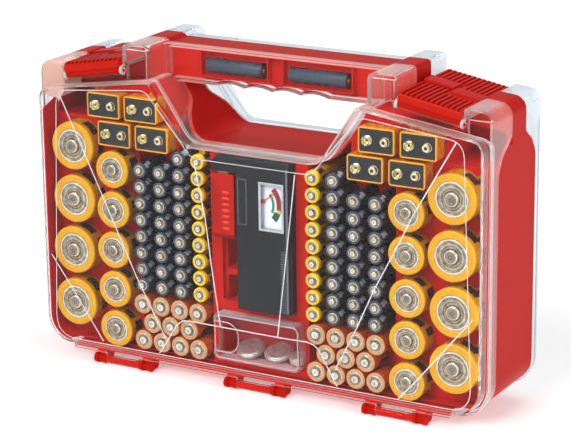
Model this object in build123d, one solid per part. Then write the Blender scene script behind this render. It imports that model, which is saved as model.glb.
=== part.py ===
"""A two-sided carry case for household cells, with a meter that tests them.

A red moulded body holds pockets for D, C, AAA, AA and 9 V cells on its front and flat bays for
AA cells on its back. A clear lid closes each side. Each lid turns on three rods along its bottom
edge and is held by two ribbed latches that reach over the body's neck beside the handle.
The tester, its sliding contact arm and a covered bin of coin cells fill the middle of the front.

Frame: millimetres, X to the right, Y to the back, Z up. The origin is under the middle of the
case, on the surface that its hinge lugs stand on.
"""

import os
from dataclasses import dataclass
from math import cos, radians, sin, tan

from build123d import *

# ---------------------------------------------------------------- clearances
LID_GAP = 0.3
TURN_GAP = 0.06
POCKET_GAP = 0.2
SLIDE_GAP = 0.3

# ---------------------------------------------------------------- the case
WALL = 2.5
CLEAR_WALL = 2.0
HALF_DEPTH = 45.25
BODY_FRONT = -25.25
BODY_BACK = 34.75
NECK_FRONT = -5.25
NECK_BACK = 15.75
HALF_WIDTH = 172.0
FLANGE_BOTTOM = 8.5
CORNER_RADIUS = 22.0
TROUGH_TOP = 168.5
TROUGH_HALF = 51.2
TROUGH_RADIUS = 15.0
SHOULDER_IN = (79.0, 209.6)
SHOULDER_OUT_Z = 196.6
BODY_INSET = 1.0
FRONT_PANEL_INSET = 2.3
BACK_PANEL_INSET = 8.0
S_LOW = 177.5
S_HIGH = 192.0
S_RADII = (24.5, 6.0)
BAY_TOP = 164.0
FRONT_BAY_TOP = 176.0

# ---------------------------------------------------------------- handle and posts
HANDLE_BOTTOM = 204.3
HANDLE_TOP = 229.3
HANDLE_REACH = 86.0
SCALLOP_PITCH = 21.5
SCALLOP_RISE = 2.0
INNER_POST_TOP = 231.5
OUTER_POST_TOP = (215.5, 213.5)
BLOCK_BOTTOM = 187.0

# ---------------------------------------------------------------- latches
LATCH_CENTRE = (128.1, -35.2, 209.0)
LATCH_TILT = 10.0
LATCH_HALF = 22.75
LATCH_BARREL = 1.9
LATCH_WALL = 3.0
LATCH_HEIGHT = 7.8
LATCH_REACH = 32.2
FLAP_REACH = 37.2
FLAP_START = 21.0
FLAP_RISE = 2.0
STUB_RADIUS = 1.2
STUB_LENGTH = 3.7
RIB_COUNT = 13
RIB_WIDTH = 1.6
RIB_RISE = 1.1
RIB_FOOT = 4.6
RIB_ROUND = 4.0
SEAT_GAP = 0.4
LATCH_SIDE = 1.55
INNER_POST = (84.0, LATCH_CENTRE[0] - LATCH_HALF - LATCH_SIDE)
OUTER_POST_IN = LATCH_CENTRE[0] + LATCH_HALF + LATCH_SIDE

# ---------------------------------------------------------------- hinges
HINGE_INSET = 3.5
HINGE_Y = HINGE_INSET - HALF_DEPTH
HINGE_Z = 3.6
HINGE_CENTRES = (-107.0, 0.0, 107.0)
ROD_RADIUS = 1.25
KNUCKLE_HALF = 13.6
KNUCKLE_RADIUS = 3.2
KNUCKLE_GAP = 0.4
LUG_INNER = KNUCKLE_HALF + KNUCKLE_GAP
LUG_WIDTH = 9.5
ROD_SHORT = 0.5
ROD_HALF = LUG_INNER + LUG_WIDTH - ROD_SHORT
LUG_RADIUS = 3.6
LUG_WAIST = 2.4
SHELF_HALF = 147.5
LIP_BACK = HINGE_Y + 0.35
SHELF_GAP = 0.4
SHELF_FRONT = LIP_BACK + SHELF_GAP

# ---------------------------------------------------------------- cells: diameter, length
D_CELL = (34.2, 61.5)
C_CELL = (26.2, 50.0)
AA_CELL = (14.0, 50.5)
AAA_CELL = (10.5, 44.5)
NINE_VOLT = (26.5, 17.5, 46.0)
SNAP_HEIGHT = 2.5
NUB_HEIGHT = 1.3
CROWN_RADIUS = 3.4
STUD_RADIUS = 2.9
SNAP_OFFSET = 6.35
SNAP_SHEET = 0.9
PLATE_SHEET = 0.8
CAP_SHARE = 0.72
D_NUB, C_NUB, AA_NUB, AAA_NUB = 4.75, 3.75, 2.75, 1.9
CAP_PLANE = -40.75
D_PLACES = ((146.0, 155.7), (146.0, 117.5), (147.7, 79.9), (147.7, 41.4))
C_PLACES = ((113.5, 142.5), (113.6, 113.6), (114.4, 84.3), (114.4, 55.6), (114.2, 26.6))
NINE_PLACES = ((90.5, 186.7), (120.7, 186.7), (82.2, 167.1), (112.6, 167.1))
AAA_PITCH = 11.8
AAA_BOTTOM = 62.3
YELLOW_X = 44.2
DARK_COLUMNS = ((59.5, 9), (75.0, 8), (90.9, 8))
YELLOW_ROWS = 9
AA_FIRST_X = 46.3
AA_PITCH = 15.0
AA_ROWS = ((48.4, 4), (35.2, 3), (22.0, 4))
HANDLE_CELLS = (-31.5, 33.0)
HANDLE_CELL_Y = -4.75
HANDLE_CELL_Z = 216.0
BACK_COLUMNS = 6
BACK_ROWS = 9
BACK_PITCH_X = 54.0
BACK_PITCH_Z = 15.2
BACK_BOTTOM = 23.2

# ---------------------------------------------------------------- trays
TRAY_SHEET = 2.0
TRAY_WALL = 1.6
D_ZONE_TOP = 175.0
TRAY_BOTTOM = 12.6
OUTER_ZONE_X = 99.3
MIDDLE_ZONE_X = 37.6
AA_ZONE_TOP = 55.8
NINE_ZONE_BOTTOM = 157.8
NINE_ZONE_TOP = 204.0
NINE_ZONE_X = (66.5, 137.0)
OUTER_DECK = -25.25
AA_DECK = -18.75
AAA_DECK = -11.75
MIDDLE_DECK = -32.4
MIDDLE_FLOOR = -10.0

# ---------------------------------------------------------------- tester
TESTER_X = (-32.0, 28.0)
TESTER_Z = (58.2, 164.4)
TESTER_FRONT = -42.0
TESTER_SPLIT = -22.0
TESTER_BACK = -17.0
TESTER_WALL = 1.8
MAIN_X = -12.5
BAR_Z = 153.5
WINDOW_X = (5.7, 24.8)
WINDOW_Z = (116.7, 150.4)
WINDOW_RIM = 1.6
PIVOT = (7.4, 136.0)
NEEDLE_LENGTH = 13.5
NEEDLE_ANGLE = 38.0
THUMB_RIDGES = (116.0, 4.2, 6)
SLIDER_X = (-31.7, -14.0)
SLIDER_Z = (106.0, 151.8)
SLIDER_Y = (-42.0, -33.0)
SLIDER_RAIL = (-29.0, -26.4)
COLUMN_POCKETS = ((82.5, 104.5), (59.5, 78.5))
COLUMN_POCKET_X = (-27.0, -13.8)

# ---------------------------------------------------------------- coin bin
BIN_X = (-33.5, 35.0)
BIN_Z = (18.5, 52.5)
BIN_FRONT = -40.75
BIN_DEPTH = 22.0
COIN_WALL = 1.5
COIN_LEAN = 20.0
COINS = ((-11.0, -27.5, 20.0, 3.2), (10.0, -25.5, 20.0, 3.2), (26.8, -29.0, 11.6, 5.4))


# ================================================================ helpers
def outline(corners):
    """A flat face through (across, up, radius) corners, each rounded by its own radius."""
    face = make_face(Polyline(*[(a, b) for a, b, _ in corners], close=True))
    for a, b, radius in corners:
        if radius:
            corner = face.vertices().sort_by_distance(Vector(a, b))[0]
            face = fillet(corner, radius)
    return face


def symmetric(half):
    """A closed outline from its right half, listed from the top down."""
    return outline(half + [(-x, z, r) for x, z, r in reversed(half)])


def front_plane(y):
    """The plane at depth y whose axes are X and Z; it faces the front."""
    return Plane(origin=(0, y, 0), x_dir=(1, 0, 0), z_dir=(0, -1, 0))


def slab(face, front, back):
    """An XZ outline made solid between two depths."""
    return extrude(front_plane(back) * face, amount=back - front)


def block(x, y, z):
    """A box from its lowest to its highest value on each axis."""
    size = (x[1] - x[0], y[1] - y[0], z[1] - z[0])
    middle = ((x[0] + x[1]) / 2, (y[0] + y[1]) / 2, (z[0] + z[1]) / 2)
    return Pos(*middle) * Box(*size)


def across(face, low, high):
    """A YZ outline made solid between two places along X."""
    return extrude(Plane.YZ.offset(low) * face, amount=high - low)


def rod_y(x, z, radius, front, back):
    """A round bar along Y."""
    return Pos(x, (front + back) / 2, z) * Rot(90, 0, 0) * Cylinder(radius, back - front)


def rod_x(y, z, radius, low, high):
    """A round bar along X."""
    return Pos((low + high) / 2, y, z) * Rot(0, 90, 0) * Cylinder(radius, high - low)


def both_sides(places):
    """Each (x, z) place and its mirror image."""
    return [(side * x, z) for x, z in places for side in (1, -1)]


def half_turn(shape):
    """The same thing on the back of the case."""
    return Rot(0, 0, 180) * shape


# ================================================================ outlines of the case
def case_outline(half_width, bottom, inset=0.0):
    """The front view: rounded bottom corners, sloping shoulders and the hand-hole's trough."""
    grow = HALF_WIDTH - half_width
    face = symmetric([
        (TROUGH_HALF, TROUGH_TOP, TROUGH_RADIUS),
        (SHOULDER_IN[0], SHOULDER_IN[1], 5.0),
        (half_width, SHOULDER_OUT_Z, 9.0),
        (half_width, bottom, CORNER_RADIUS - grow),
    ])
    return offset(face, amount=-inset) if inset else face


def seat_height(x):
    """The top of the neck under a latch, which slopes with it."""
    centre = LATCH_CENTRE[2] + LATCH_HEIGHT - LATCH_WALL - SEAT_GAP
    return centre - (x - LATCH_CENTRE[0]) * tan(radians(LATCH_TILT))


def shoulder_block(side, inset=0.0):
    """The upright block beside the handle: inner post, latch seat and outer corner."""
    corners = [
        (INNER_POST[0], BLOCK_BOTTOM, 0),
        (INNER_POST[0], INNER_POST_TOP, 5.0),
        (INNER_POST[1], INNER_POST_TOP, 3.0),
        (INNER_POST[1], seat_height(INNER_POST[1]), 0),
        (OUTER_POST_IN, seat_height(OUTER_POST_IN), 0),
        (OUTER_POST_IN, OUTER_POST_TOP[0], 2.0),
        (HALF_WIDTH, OUTER_POST_TOP[1], 9.0),
        (HALF_WIDTH, BLOCK_BOTTOM, 0),
    ]
    face = outline([(side * x, z, r) for x, z, r in corners])
    return offset(face, amount=-inset) if inset else face


def handle_outline(inset=0.0, reach=HANDLE_REACH):
    """The handle's strip, with a scallop for each finger along its underside."""
    radius = ((SCALLOP_PITCH / 2) ** 2 + SCALLOP_RISE ** 2) / (2 * SCALLOP_RISE)
    strip = Pos(0, (HANDLE_TOP + HANDLE_BOTTOM) / 2) * Rectangle(
        2 * reach, HANDLE_TOP - HANDLE_BOTTOM - 2 * inset)
    for place in (-1.5, -0.5, 0.5, 1.5):
        centre = HANDLE_BOTTOM + SCALLOP_RISE - radius
        strip -= Pos(place * SCALLOP_PITCH, centre) * Circle(radius + inset)
    return strip


def body_profile():
    """The side view of the red body: deep below, drawn in to the neck above."""
    top = INNER_POST_TOP + 10
    return outline([
        (BODY_FRONT, -5, 0),
        (BODY_FRONT, S_LOW, S_RADII[0]),
        (NECK_FRONT, S_HIGH, S_RADII[1]),
        (NECK_FRONT, top, 0),
        (NECK_BACK, top, 0),
        (NECK_BACK, S_HIGH, S_RADII[1]),
        (BODY_BACK, S_LOW, S_RADII[0]),
        (BODY_BACK, -5, 0),
    ])


# ================================================================ the red body
def hinge_rod(centre):
    """The rod of one hinge, held in its two lugs."""
    return rod_x(HINGE_Y, HINGE_Z, ROD_RADIUS, centre - ROD_HALF, centre + ROD_HALF)


def hinge_lugs(centre):
    """Two spool-shaped lugs of one hinge, with the arms that tie them to the shelf."""
    arm = outline([
        (HINGE_Y, 0, 0), (HINGE_Y + 9.0, 0, 1.5), (BODY_FRONT - 2, FLANGE_BOTTOM + 2, 0),
        (SHELF_FRONT, FLANGE_BOTTOM + 2, 0), (SHELF_FRONT, HINGE_Z + 3, 0), (HINGE_Y, HINGE_Z + 2, 0),
    ])
    lugs = []
    for side in (-1, 1):
        low = centre + (LUG_INNER if side > 0 else -LUG_INNER - LUG_WIDTH)
        lug = rod_x(HINGE_Y, HINGE_Z, LUG_WAIST, low, low + LUG_WIDTH)
        for start in (low, low + LUG_WIDTH - 2.6):
            lug += rod_x(HINGE_Y, HINGE_Z, LUG_RADIUS, start, start + 2.6)
        lug += across(arm, low + 1.2, low + LUG_WIDTH - 1.2)
        lugs.append(lug - hinge_rod(centre))
    return lugs


def shelf():
    """The bottom ledge that runs forward to the hinges, with its lugs."""
    top = FLANGE_BOTTOM + BODY_INSET + WALL
    ledge = block((-SHELF_HALF, SHELF_HALF), (SHELF_FRONT, BODY_FRONT + 1),
                  (FLANGE_BOTTOM + BODY_INSET, top))
    for centre in HINGE_CENTRES:
        for lug in hinge_lugs(centre):
            ledge += lug
    return ledge


def back_shelf():
    """The same ledge behind, shortened to the deeper body."""
    return half_turn(shelf()) & block((-HALF_WIDTH, HALF_WIDTH), (0, HALF_DEPTH + 5), (-5, 20))


def handle_recess(x):
    """The half-round seat in the handle's face for one spare cell."""
    half = AAA_CELL[1] / 2 + 1.0
    return rod_x(HANDLE_CELL_Y, HANDLE_CELL_Z, AAA_CELL[0] / 2 + POCKET_GAP, x - half, x + half)


def case_body():
    """The red moulding: walls, partition, neck, handle, hinge shelves and back dividers."""
    solid = slab(case_outline(HALF_WIDTH, FLANGE_BOTTOM, BODY_INSET), BODY_FRONT, BODY_BACK)
    for side in (-1, 1):
        solid += slab(shoulder_block(side), NECK_FRONT, NECK_BACK)
    solid += slab(handle_outline(), NECK_FRONT, NECK_BACK)
    solid &= across(body_profile(), -HALF_WIDTH - 5, HALF_WIDTH + 5)
    inner = case_outline(HALF_WIDTH, FLANGE_BOTTOM, BODY_INSET + WALL)
    partition = CAP_PLANE + D_CELL[1]
    nine_back = CAP_PLANE + C_CELL[1] + TRAY_SHEET
    wide = (-HALF_WIDTH, HALF_WIDTH)
    deep = (-2 * HALF_DEPTH, 2 * HALF_DEPTH)
    solid -= slab(inner, -HALF_DEPTH, partition) & block(wide, deep, (0, FRONT_BAY_TOP))
    solid -= slab(inner, -HALF_DEPTH, nine_back) & block(wide, deep, (FRONT_BAY_TOP - 1, INNER_POST_TOP))
    solid -= slab(inner, partition + TRAY_SHEET, HALF_DEPTH) & block(wide, deep, (0, BAY_TOP))
    for place in HANDLE_CELLS:
        solid -= handle_recess(place)
    solid += shelf()
    solid += back_shelf()
    for column in range(1, BACK_COLUMNS):
        x = (column - BACK_COLUMNS / 2) * BACK_PITCH_X
        solid += block((x - 0.8, x + 0.8), (partition + 1, BODY_BACK - 1.0),
                       (FLANGE_BOTTOM + BODY_INSET + 1, BAY_TOP + 1))
    return solid


# ================================================================ the clear lids
def latch_window(side, room):
    """The front view of the space that a latch's front wall turns in, with room under its barrel."""
    corners = []
    for x in (INNER_POST[1], OUTER_POST_IN):
        drop = (x - LATCH_CENTRE[0]) * tan(radians(LATCH_TILT))
        corners.append((side * x, LATCH_CENTRE[2] - LATCH_BARREL - room - drop, 0))
    top = INNER_POST_TOP + 5
    return outline(corners + [(side * OUTER_POST_IN, top, 0), (side * INNER_POST[1], top, 0)])


def post_hollows():
    """The hollows in the fronts of the two posts: inner x, outer x and top."""
    return (
        (INNER_POST[0] + CLEAR_WALL, INNER_POST[1] - CLEAR_WALL, INNER_POST_TOP - CLEAR_WALL - 2),
        (OUTER_POST_IN + CLEAR_WALL, HALF_WIDTH - CLEAR_WALL, OUTER_POST_TOP[1] - CLEAR_WALL - 4),
    )


@dataclass
class LidSizes:
    """Depths of one lid, as if it were the front one: the front is towards -Y."""
    panel_half: float
    panel_bottom: float
    step: float
    ledge: float
    cover: float
    latch_room: float


FRONT_LID = LidSizes(HALF_WIDTH - FRONT_PANEL_INSET, 11.1, -36.25, -36.35, -13.75, 0.6)
BACK_LID = LidSizes(HALF_WIDTH - BACK_PANEL_INSET, 11.1, -39.6, -39.5, -24.25, 2.6)
PANEL = -HALF_DEPTH


def latch_frame(side):
    """Where a front latch's pivot lies: its tilt drops its outer end."""
    x, y, z = LATCH_CENTRE
    return Pos(side * x, y, z) * Rot(0, side * LATCH_TILT, 0)


def pivot_bores():
    """The holes that both front latches turn in."""
    half = LATCH_HALF + STUB_LENGTH + 0.4
    bore = Rot(0, 90, 0) * Cylinder(STUB_RADIUS + TURN_GAP, 2 * half)
    return [latch_frame(side) * bore for side in (-1, 1)]


def knuckles():
    """The clear barrels round the hinge rods, each hung from the lid's bottom lip."""
    parts = []
    for centre in HINGE_CENTRES:
        low, high = centre - KNUCKLE_HALF, centre + KNUCKLE_HALF
        web = block((low, high), (HINGE_Y - 2.2, HINGE_Y + 0.3), (HINGE_Z, FLANGE_BOTTOM + 1.5))
        barrel = rod_x(HINGE_Y, HINGE_Z, KNUCKLE_RADIUS, low, high) + web
        parts.append(barrel - rod_x(HINGE_Y, HINGE_Z, ROD_RADIUS + TURN_GAP, low - 1, high + 1))
    return parts


def clear_lid(sizes, profile):
    """One lid, built as the front one: panel, flange, top blocks, handle cover and knuckles."""
    panel = case_outline(sizes.panel_half, sizes.panel_bottom)
    flange = case_outline(HALF_WIDTH, FLANGE_BOTTOM)
    seat_front = LATCH_CENTRE[1] + LATCH_BARREL + LID_GAP
    shell = slab(panel, PANEL, sizes.step)
    shell = fillet(shell.edges().group_by(Axis.Y)[0], 3.0)
    shell += slab(flange, sizes.step, 0)
    hollow = slab(offset(panel, amount=-CLEAR_WALL), PANEL + CLEAR_WALL, sizes.step + CLEAR_WALL + 1)
    hollow += slab(offset(flange, amount=-CLEAR_WALL), sizes.step + CLEAR_WALL, HALF_DEPTH)
    for side in (-1, 1):
        shell += slab(shoulder_block(side), sizes.ledge, 0)
        shell -= slab(latch_window(side, sizes.latch_room), sizes.ledge - 1, seat_front)
        hollow += slab(shoulder_block(side, CLEAR_WALL), seat_front + CLEAR_WALL, HALF_DEPTH)
        for inner, outer, top in post_hollows():
            ends = sorted((side * inner, side * outer))
            hollow += block(ends, (sizes.ledge + CLEAR_WALL, seat_front + 3), (BLOCK_BOTTOM + 2, top))
    shell += slab(handle_outline(), sizes.cover, 0)
    hollow += slab(handle_outline(CLEAR_WALL, INNER_POST[0] - 1.5), sizes.cover + CLEAR_WALL, HALF_DEPTH)
    lid = shell - hollow
    lid -= block((-SHELF_HALF - 0.5, SHELF_HALF + 0.5), (LIP_BACK, HALF_DEPTH),
                 (0, sizes.panel_bottom + CLEAR_WALL + 1))
    lid += block((-SHELF_HALF, SHELF_HALF), (PANEL + CLEAR_WALL - 0.5, LIP_BACK),
                 (FLANGE_BOTTOM, sizes.panel_bottom + CLEAR_WALL))
    for knuckle in knuckles():
        lid += knuckle
    for bore in pivot_bores():
        lid -= bore
    return lid - across(profile, -HALF_WIDTH - 5, HALF_WIDTH + 5)


def front_lid():
    """The lid over the cells that stand in the tray."""
    return clear_lid(FRONT_LID, offset(body_profile(), amount=LID_GAP))


def back_lid():
    """The lid over the flat bays; it is built facing front and turned round."""
    turned = offset(mirror(body_profile(), Plane.YZ), amount=LID_GAP)
    return half_turn(clear_lid(BACK_LID, turned))


# ================================================================ latches
def latch_profile(top, reach):
    """The side view of a latch: a front wall rolled over into its top plate."""
    inner_z = LATCH_HEIGHT - LATCH_WALL
    return outline([
        (-LATCH_BARREL, 0, 0), (-LATCH_BARREL, top, 4.5), (reach, top, 1.0),
        (reach, inner_z, 0), (LATCH_WALL - LATCH_BARREL, inner_z, 1.0),
        (LATCH_WALL - LATCH_BARREL, 0, 0),
    ])


def rib_profile(reach):
    """One raised rib over the top plate and the upper part of the front wall."""
    lift = RIB_RISE
    return outline([
        (-LATCH_BARREL - lift, RIB_FOOT, 0), (-LATCH_BARREL - lift, LATCH_HEIGHT + lift, RIB_ROUND),
        (reach, LATCH_HEIGHT + lift, 0.8), (reach, LATCH_HEIGHT - 1.0, 0),
        (-LATCH_BARREL + 3.0, LATCH_HEIGHT - 2.0, 0), (-LATCH_BARREL + 0.6, RIB_FOOT, 0),
    ])


def latch():
    """A latch in its own frame: the pivot along X, the plate running back over the neck."""
    lever = across(latch_profile(LATCH_HEIGHT, LATCH_REACH), -LATCH_HALF, LATCH_HALF)
    lever += across(latch_profile(LATCH_HEIGHT, FLAP_REACH), LID_GAP, LATCH_HALF)
    lever += rod_x(0, 0, LATCH_BARREL, -LATCH_HALF, LATCH_HALF)
    flap = outline([(FLAP_START, LATCH_HEIGHT - 1, 0), (FLAP_START + 4, LATCH_HEIGHT + FLAP_RISE, 2),
                    (FLAP_REACH, LATCH_HEIGHT + FLAP_RISE, 1.2), (FLAP_REACH, LATCH_HEIGHT - 1, 0)])
    lever += across(flap, 1.0, LATCH_HALF)
    pitch = (2 * LATCH_HALF - RIB_WIDTH - 1.0) / (RIB_COUNT - 1)
    for index in range(RIB_COUNT):
        x = -LATCH_HALF + 0.5 + index * pitch
        reach = LATCH_REACH - 1.0 if x + RIB_WIDTH < 0.5 else FLAP_START
        lever += across(rib_profile(reach), x, x + RIB_WIDTH)
    return lever + rod_x(0, 0, STUB_RADIUS, -LATCH_HALF - STUB_LENGTH, LATCH_HALF + STUB_LENGTH)


def latches():
    """The four latches in place: the back pair is the front pair turned round."""
    shape = latch()
    front = {"right": latch_frame(1) * shape, "left": latch_frame(-1) * shape}
    return {
        "front_latch_right": front["right"],
        "front_latch_left": front["left"],
        "back_latch_left": half_turn(front["right"]),
        "back_latch_right": half_turn(front["left"]),
    }


def hinge_rods():
    """The three rods of the front lid."""
    return [hinge_rod(centre) for centre in HINGE_CENTRES]


# ================================================================ cells
def aaa_places():
    """Where the yellow and the dark AAA cells stand, for both sides."""
    yellow = [(YELLOW_X, AAA_BOTTOM + row * AAA_PITCH) for row in range(YELLOW_ROWS)]
    dark = [(x, AAA_BOTTOM + row * AAA_PITCH) for x, rows in DARK_COLUMNS for row in range(rows)]
    return both_sides(yellow), both_sides(dark)


def aa_places():
    """The AA rows: the middle row sits between the columns of the others."""
    places = []
    for z, count in AA_ROWS:
        start = AA_FIRST_X + (0 if count == 4 else AA_PITCH / 2)
        places += [(start + index * AA_PITCH, z) for index in range(count)]
    return both_sides(places)


def round_cell(diameter, length, nub):
    """A standing cell at x = z = 0: its jacket, then its metal cap with the nub to the front."""
    front = CAP_PLANE + NUB_HEIGHT
    plate_back = front + PLATE_SHEET
    radius = diameter / 2
    jacket = rod_y(0, 0, radius, front, CAP_PLANE + length)
    jacket = fillet(jacket.edges().group_by(Axis.Y)[0], 0.05 * diameter)
    seat = rod_y(0, 0, CAP_SHARE * radius, front - 1, plate_back)
    step = rod_y(0, 0, nub, CAP_PLANE, front + 0.5)
    cap = rod_y(0, 0, CAP_SHARE * radius, front + 0.3, plate_back) + step
    return jacket - seat, cap


def cells_at(cell, nub, places):
    """The jackets and the caps of the standing cells of one size."""
    jacket, cap = round_cell(cell[0], cell[1], nub)
    return [Pos(x, 0, z) * jacket for x, z in places], [Pos(x, 0, z) * cap for x, z in places]


def lying_cell(cell, nub):
    """A cell that lies along X, centred on the origin: its jacket, then its two ends."""
    radius, half = cell[0] / 2, cell[1] / 2
    jacket = rod_x(0, 0, radius, -half, half - 1.2)
    nub_bar = rod_x(0, 0, nub, half - 1.2, half)
    return jacket, nub_bar


def nine_volt_cells():
    """The square cells: jackets, dark top plates and the pairs of snaps."""
    width, height, length = NINE_VOLT
    base = CAP_PLANE + 1.5 + SNAP_HEIGHT + length
    front = base - length
    jackets, plates, snaps = [], [], []
    for x, z in both_sides(NINE_PLACES):
        box = block((x - width / 2, x + width / 2), (front, base), (z - height / 2, z + height / 2))
        box = fillet(box.edges().filter_by(Axis.Y), 1.5)
        plate = block((x - width / 2 + 1, x + width / 2 - 1), (front, front + PLATE_SHEET),
                      (z - height / 2 + 1, z + height / 2 - 1))
        jackets.append(box - plate)
        plates.append(plate)
        for side, radius in ((-1, CROWN_RADIUS), (1, STUD_RADIUS)):
            snap = rod_y(x + side * SNAP_OFFSET, z, radius, front - SNAP_HEIGHT, front)
            bore = rod_y(x + side * SNAP_OFFSET, z, radius - SNAP_SHEET, front - SNAP_HEIGHT - 1,
                         front - SNAP_SHEET)
            snaps.append(snap - bore)
    return jackets, plates, snaps


def handle_cells():
    """The two spare cells behind the handle's clear cover."""
    jacket, nub = lying_cell(AAA_CELL, AAA_NUB)
    places = [Pos(x, HANDLE_CELL_Y, HANDLE_CELL_Z) for x in HANDLE_CELLS]
    return [p * jacket for p in places], [p * nub for p in places]


def back_cells():
    """The cells that lie in the back bays."""
    jacket, nub = lying_cell(AA_CELL, AA_NUB)
    y = CAP_PLANE + D_CELL[1] + TRAY_SHEET + AA_CELL[0] / 2
    jackets, nubs = [], []
    for column in range(BACK_COLUMNS):
        x = (column - (BACK_COLUMNS - 1) / 2) * BACK_PITCH_X
        for row in range(BACK_ROWS):
            place = Pos(x, y, BACK_BOTTOM + row * BACK_PITCH_Z)
            jackets.append(place * jacket)
            nubs.append(place * nub)
    return jackets, nubs


# ================================================================ the trays
def zone(x, z, deck, floor, back=CAP_PLANE + D_CELL[1]):
    """One zone of the tray as solid and hollow: a deck, a floor for the cells and its walls."""
    solid = block(x, (deck, back), z)
    inside_x = (x[0] + TRAY_WALL, x[1] - TRAY_WALL)
    inside_z = (z[0] + TRAY_WALL, z[1] - TRAY_WALL)
    hollow = [block(inside_x, (deck + TRAY_SHEET, floor), inside_z)]
    if floor + TRAY_SHEET < back - 1:
        hollow.append(block(inside_x, (floor + TRAY_SHEET, back + 5), inside_z))
    return solid, hollow


def pocket_holes(places, cell, front):
    """The holes that standing cells pass through."""
    radius = cell[0] / 2 + POCKET_GAP
    return [rod_y(x, z, radius, front - 1, CAP_PLANE + cell[1]) for x, z in places]


def middle_cuts():
    """What is cut from the middle of the tray: the tester's bed, two pockets and the bin."""
    bed_back = TESTER_BACK + SLIDE_GAP
    cuts = [
        block((MAIN_X - SLIDE_GAP, TESTER_X[1] + SLIDE_GAP), (MIDDLE_DECK - 1, bed_back),
              (TESTER_Z[0] - SLIDE_GAP, TESTER_Z[1] + 6)),
        block((TESTER_X[0] - SLIDE_GAP, MAIN_X), (MIDDLE_DECK - 1, bed_back),
              (BAR_Z - SLIDE_GAP, TESTER_Z[1] + 6)),
        block(BIN_X, (MIDDLE_DECK - 1, MIDDLE_DECK + BIN_DEPTH), BIN_Z),
    ]
    for low, high in COLUMN_POCKETS:
        cuts.append(block(COLUMN_POCKET_X, (MIDDLE_DECK - 1, bed_back), (low, high)))
    rail = SLIDER_RAIL
    slot = block((rail[0] - SLIDE_GAP, rail[1] + SLIDE_GAP), (MIDDLE_DECK - 1, MIDDLE_DECK + 3.3),
                 (TESTER_Z[0] + 2, BAR_Z))
    return cuts + [slot]


def tray_edge(inset):
    """The outline that every tray keeps inside, from front to back."""
    return slab(case_outline(HALF_WIDTH, FLANGE_BOTTOM, inset), -HALF_DEPTH, HALF_DEPTH)


def shaped_tray(zones, holes):
    """Trays from (x, z, deck, floor[, back]) zones, trimmed to the case's outline and holed."""
    edge = BODY_INSET + WALL + POCKET_GAP
    trimmed = tray_edge(edge)
    inner_edge = tray_edge(edge + TRAY_WALL)
    solid, keep = None, []
    for sizes in zones:
        part, inside = zone(*sizes)
        solid = part if solid is None else solid + part
        keep += inside
    solid &= trimmed
    for hollow in keep:
        solid -= hollow & inner_edge
    for hole in holes:
        solid -= hole
    return solid


def middle_tray():
    """The red insert between the cells: the tester's bed, two pockets and the coin bin."""
    x, z = (-MIDDLE_ZONE_X, MIDDLE_ZONE_X), (TRAY_BOTTOM, BAY_TOP)
    solid, hollows = zone(x, z, MIDDLE_DECK, MIDDLE_FLOOR)
    for cut in hollows[1:] + middle_cuts():
        solid -= cut
    return solid & tray_edge(BODY_INSET + WALL + POCKET_GAP)


def side_tray(side):
    """The red insert on one side that the front cells stand in."""
    c_floor = CAP_PLANE + C_CELL[1]
    back = CAP_PLANE + D_CELL[1]
    zones = []
    for x, z, deck, floor, end in (
        ((OUTER_ZONE_X, HALF_WIDTH), (TRAY_BOTTOM, D_ZONE_TOP), OUTER_DECK, c_floor, back),
        ((MIDDLE_ZONE_X, OUTER_ZONE_X), (AA_ZONE_TOP, NINE_ZONE_BOTTOM), AAA_DECK,
         CAP_PLANE + AAA_CELL[1], back),
        ((MIDDLE_ZONE_X, OUTER_ZONE_X), (TRAY_BOTTOM, AA_ZONE_TOP), AA_DECK,
         CAP_PLANE + AA_CELL[1], back),
        (NINE_ZONE_X, (NINE_ZONE_BOTTOM, NINE_ZONE_TOP), OUTER_DECK, c_floor, c_floor + TRAY_SHEET),
    ):
        zones.append((sorted((side * x[0], side * x[1])), z, deck, floor, end))
    yellow, dark = aaa_places()
    holes = []
    for places, cell, deck in (
        (both_sides(D_PLACES), D_CELL, OUTER_DECK), (both_sides(C_PLACES), C_CELL, OUTER_DECK),
        (yellow + dark, AAA_CELL, AAA_DECK), (aa_places(), AA_CELL, AA_DECK),
    ):
        holes += pocket_holes([place for place in places if place[0] * side > 0], cell, deck)
    half_w, half_h = NINE_VOLT[0] / 2 + POCKET_GAP, NINE_VOLT[1] / 2 + POCKET_GAP
    for x, z in NINE_PLACES:
        x *= side
        holes.append(block((x - half_w, x + half_w), (OUTER_DECK - 1, c_floor), (z - half_h, z + half_h)))
    return shaped_tray(zones, holes)


# ================================================================ the tester
def tester_outline():
    """The tester's front view: its main panel with a bar reaching left across the top."""
    return outline([
        (MAIN_X, TESTER_Z[0], 1.0), (MAIN_X, BAR_Z, 0), (TESTER_X[0], BAR_Z, 1.0),
        (TESTER_X[0], TESTER_Z[1], 7.0), (TESTER_X[1], TESTER_Z[1], 3.0), (TESTER_X[1], TESTER_Z[0], 2.0),
    ])


def tester_front_shell():
    """The dark front of the tester, open behind, with the meter's window in it."""
    wall = TESTER_WALL
    face = tester_outline()
    shell = slab(face, TESTER_FRONT, TESTER_SPLIT)
    shell = fillet(shell.edges().group_by(Axis.Y)[0], 0.9)
    shell -= slab(offset(face, amount=-wall), TESTER_FRONT + wall, TESTER_SPLIT + 1)
    window = block(WINDOW_X, (TESTER_FRONT - 1, TESTER_FRONT + wall + 1), WINDOW_Z)
    return shell - window


def tester_back_shell():
    """The tester's shallow back cover."""
    wall = TESTER_WALL
    shell = slab(tester_outline(), TESTER_SPLIT, TESTER_BACK)
    return shell - slab(offset(tester_outline(), amount=-wall), TESTER_SPLIT - 1, TESTER_BACK - wall)


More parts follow.
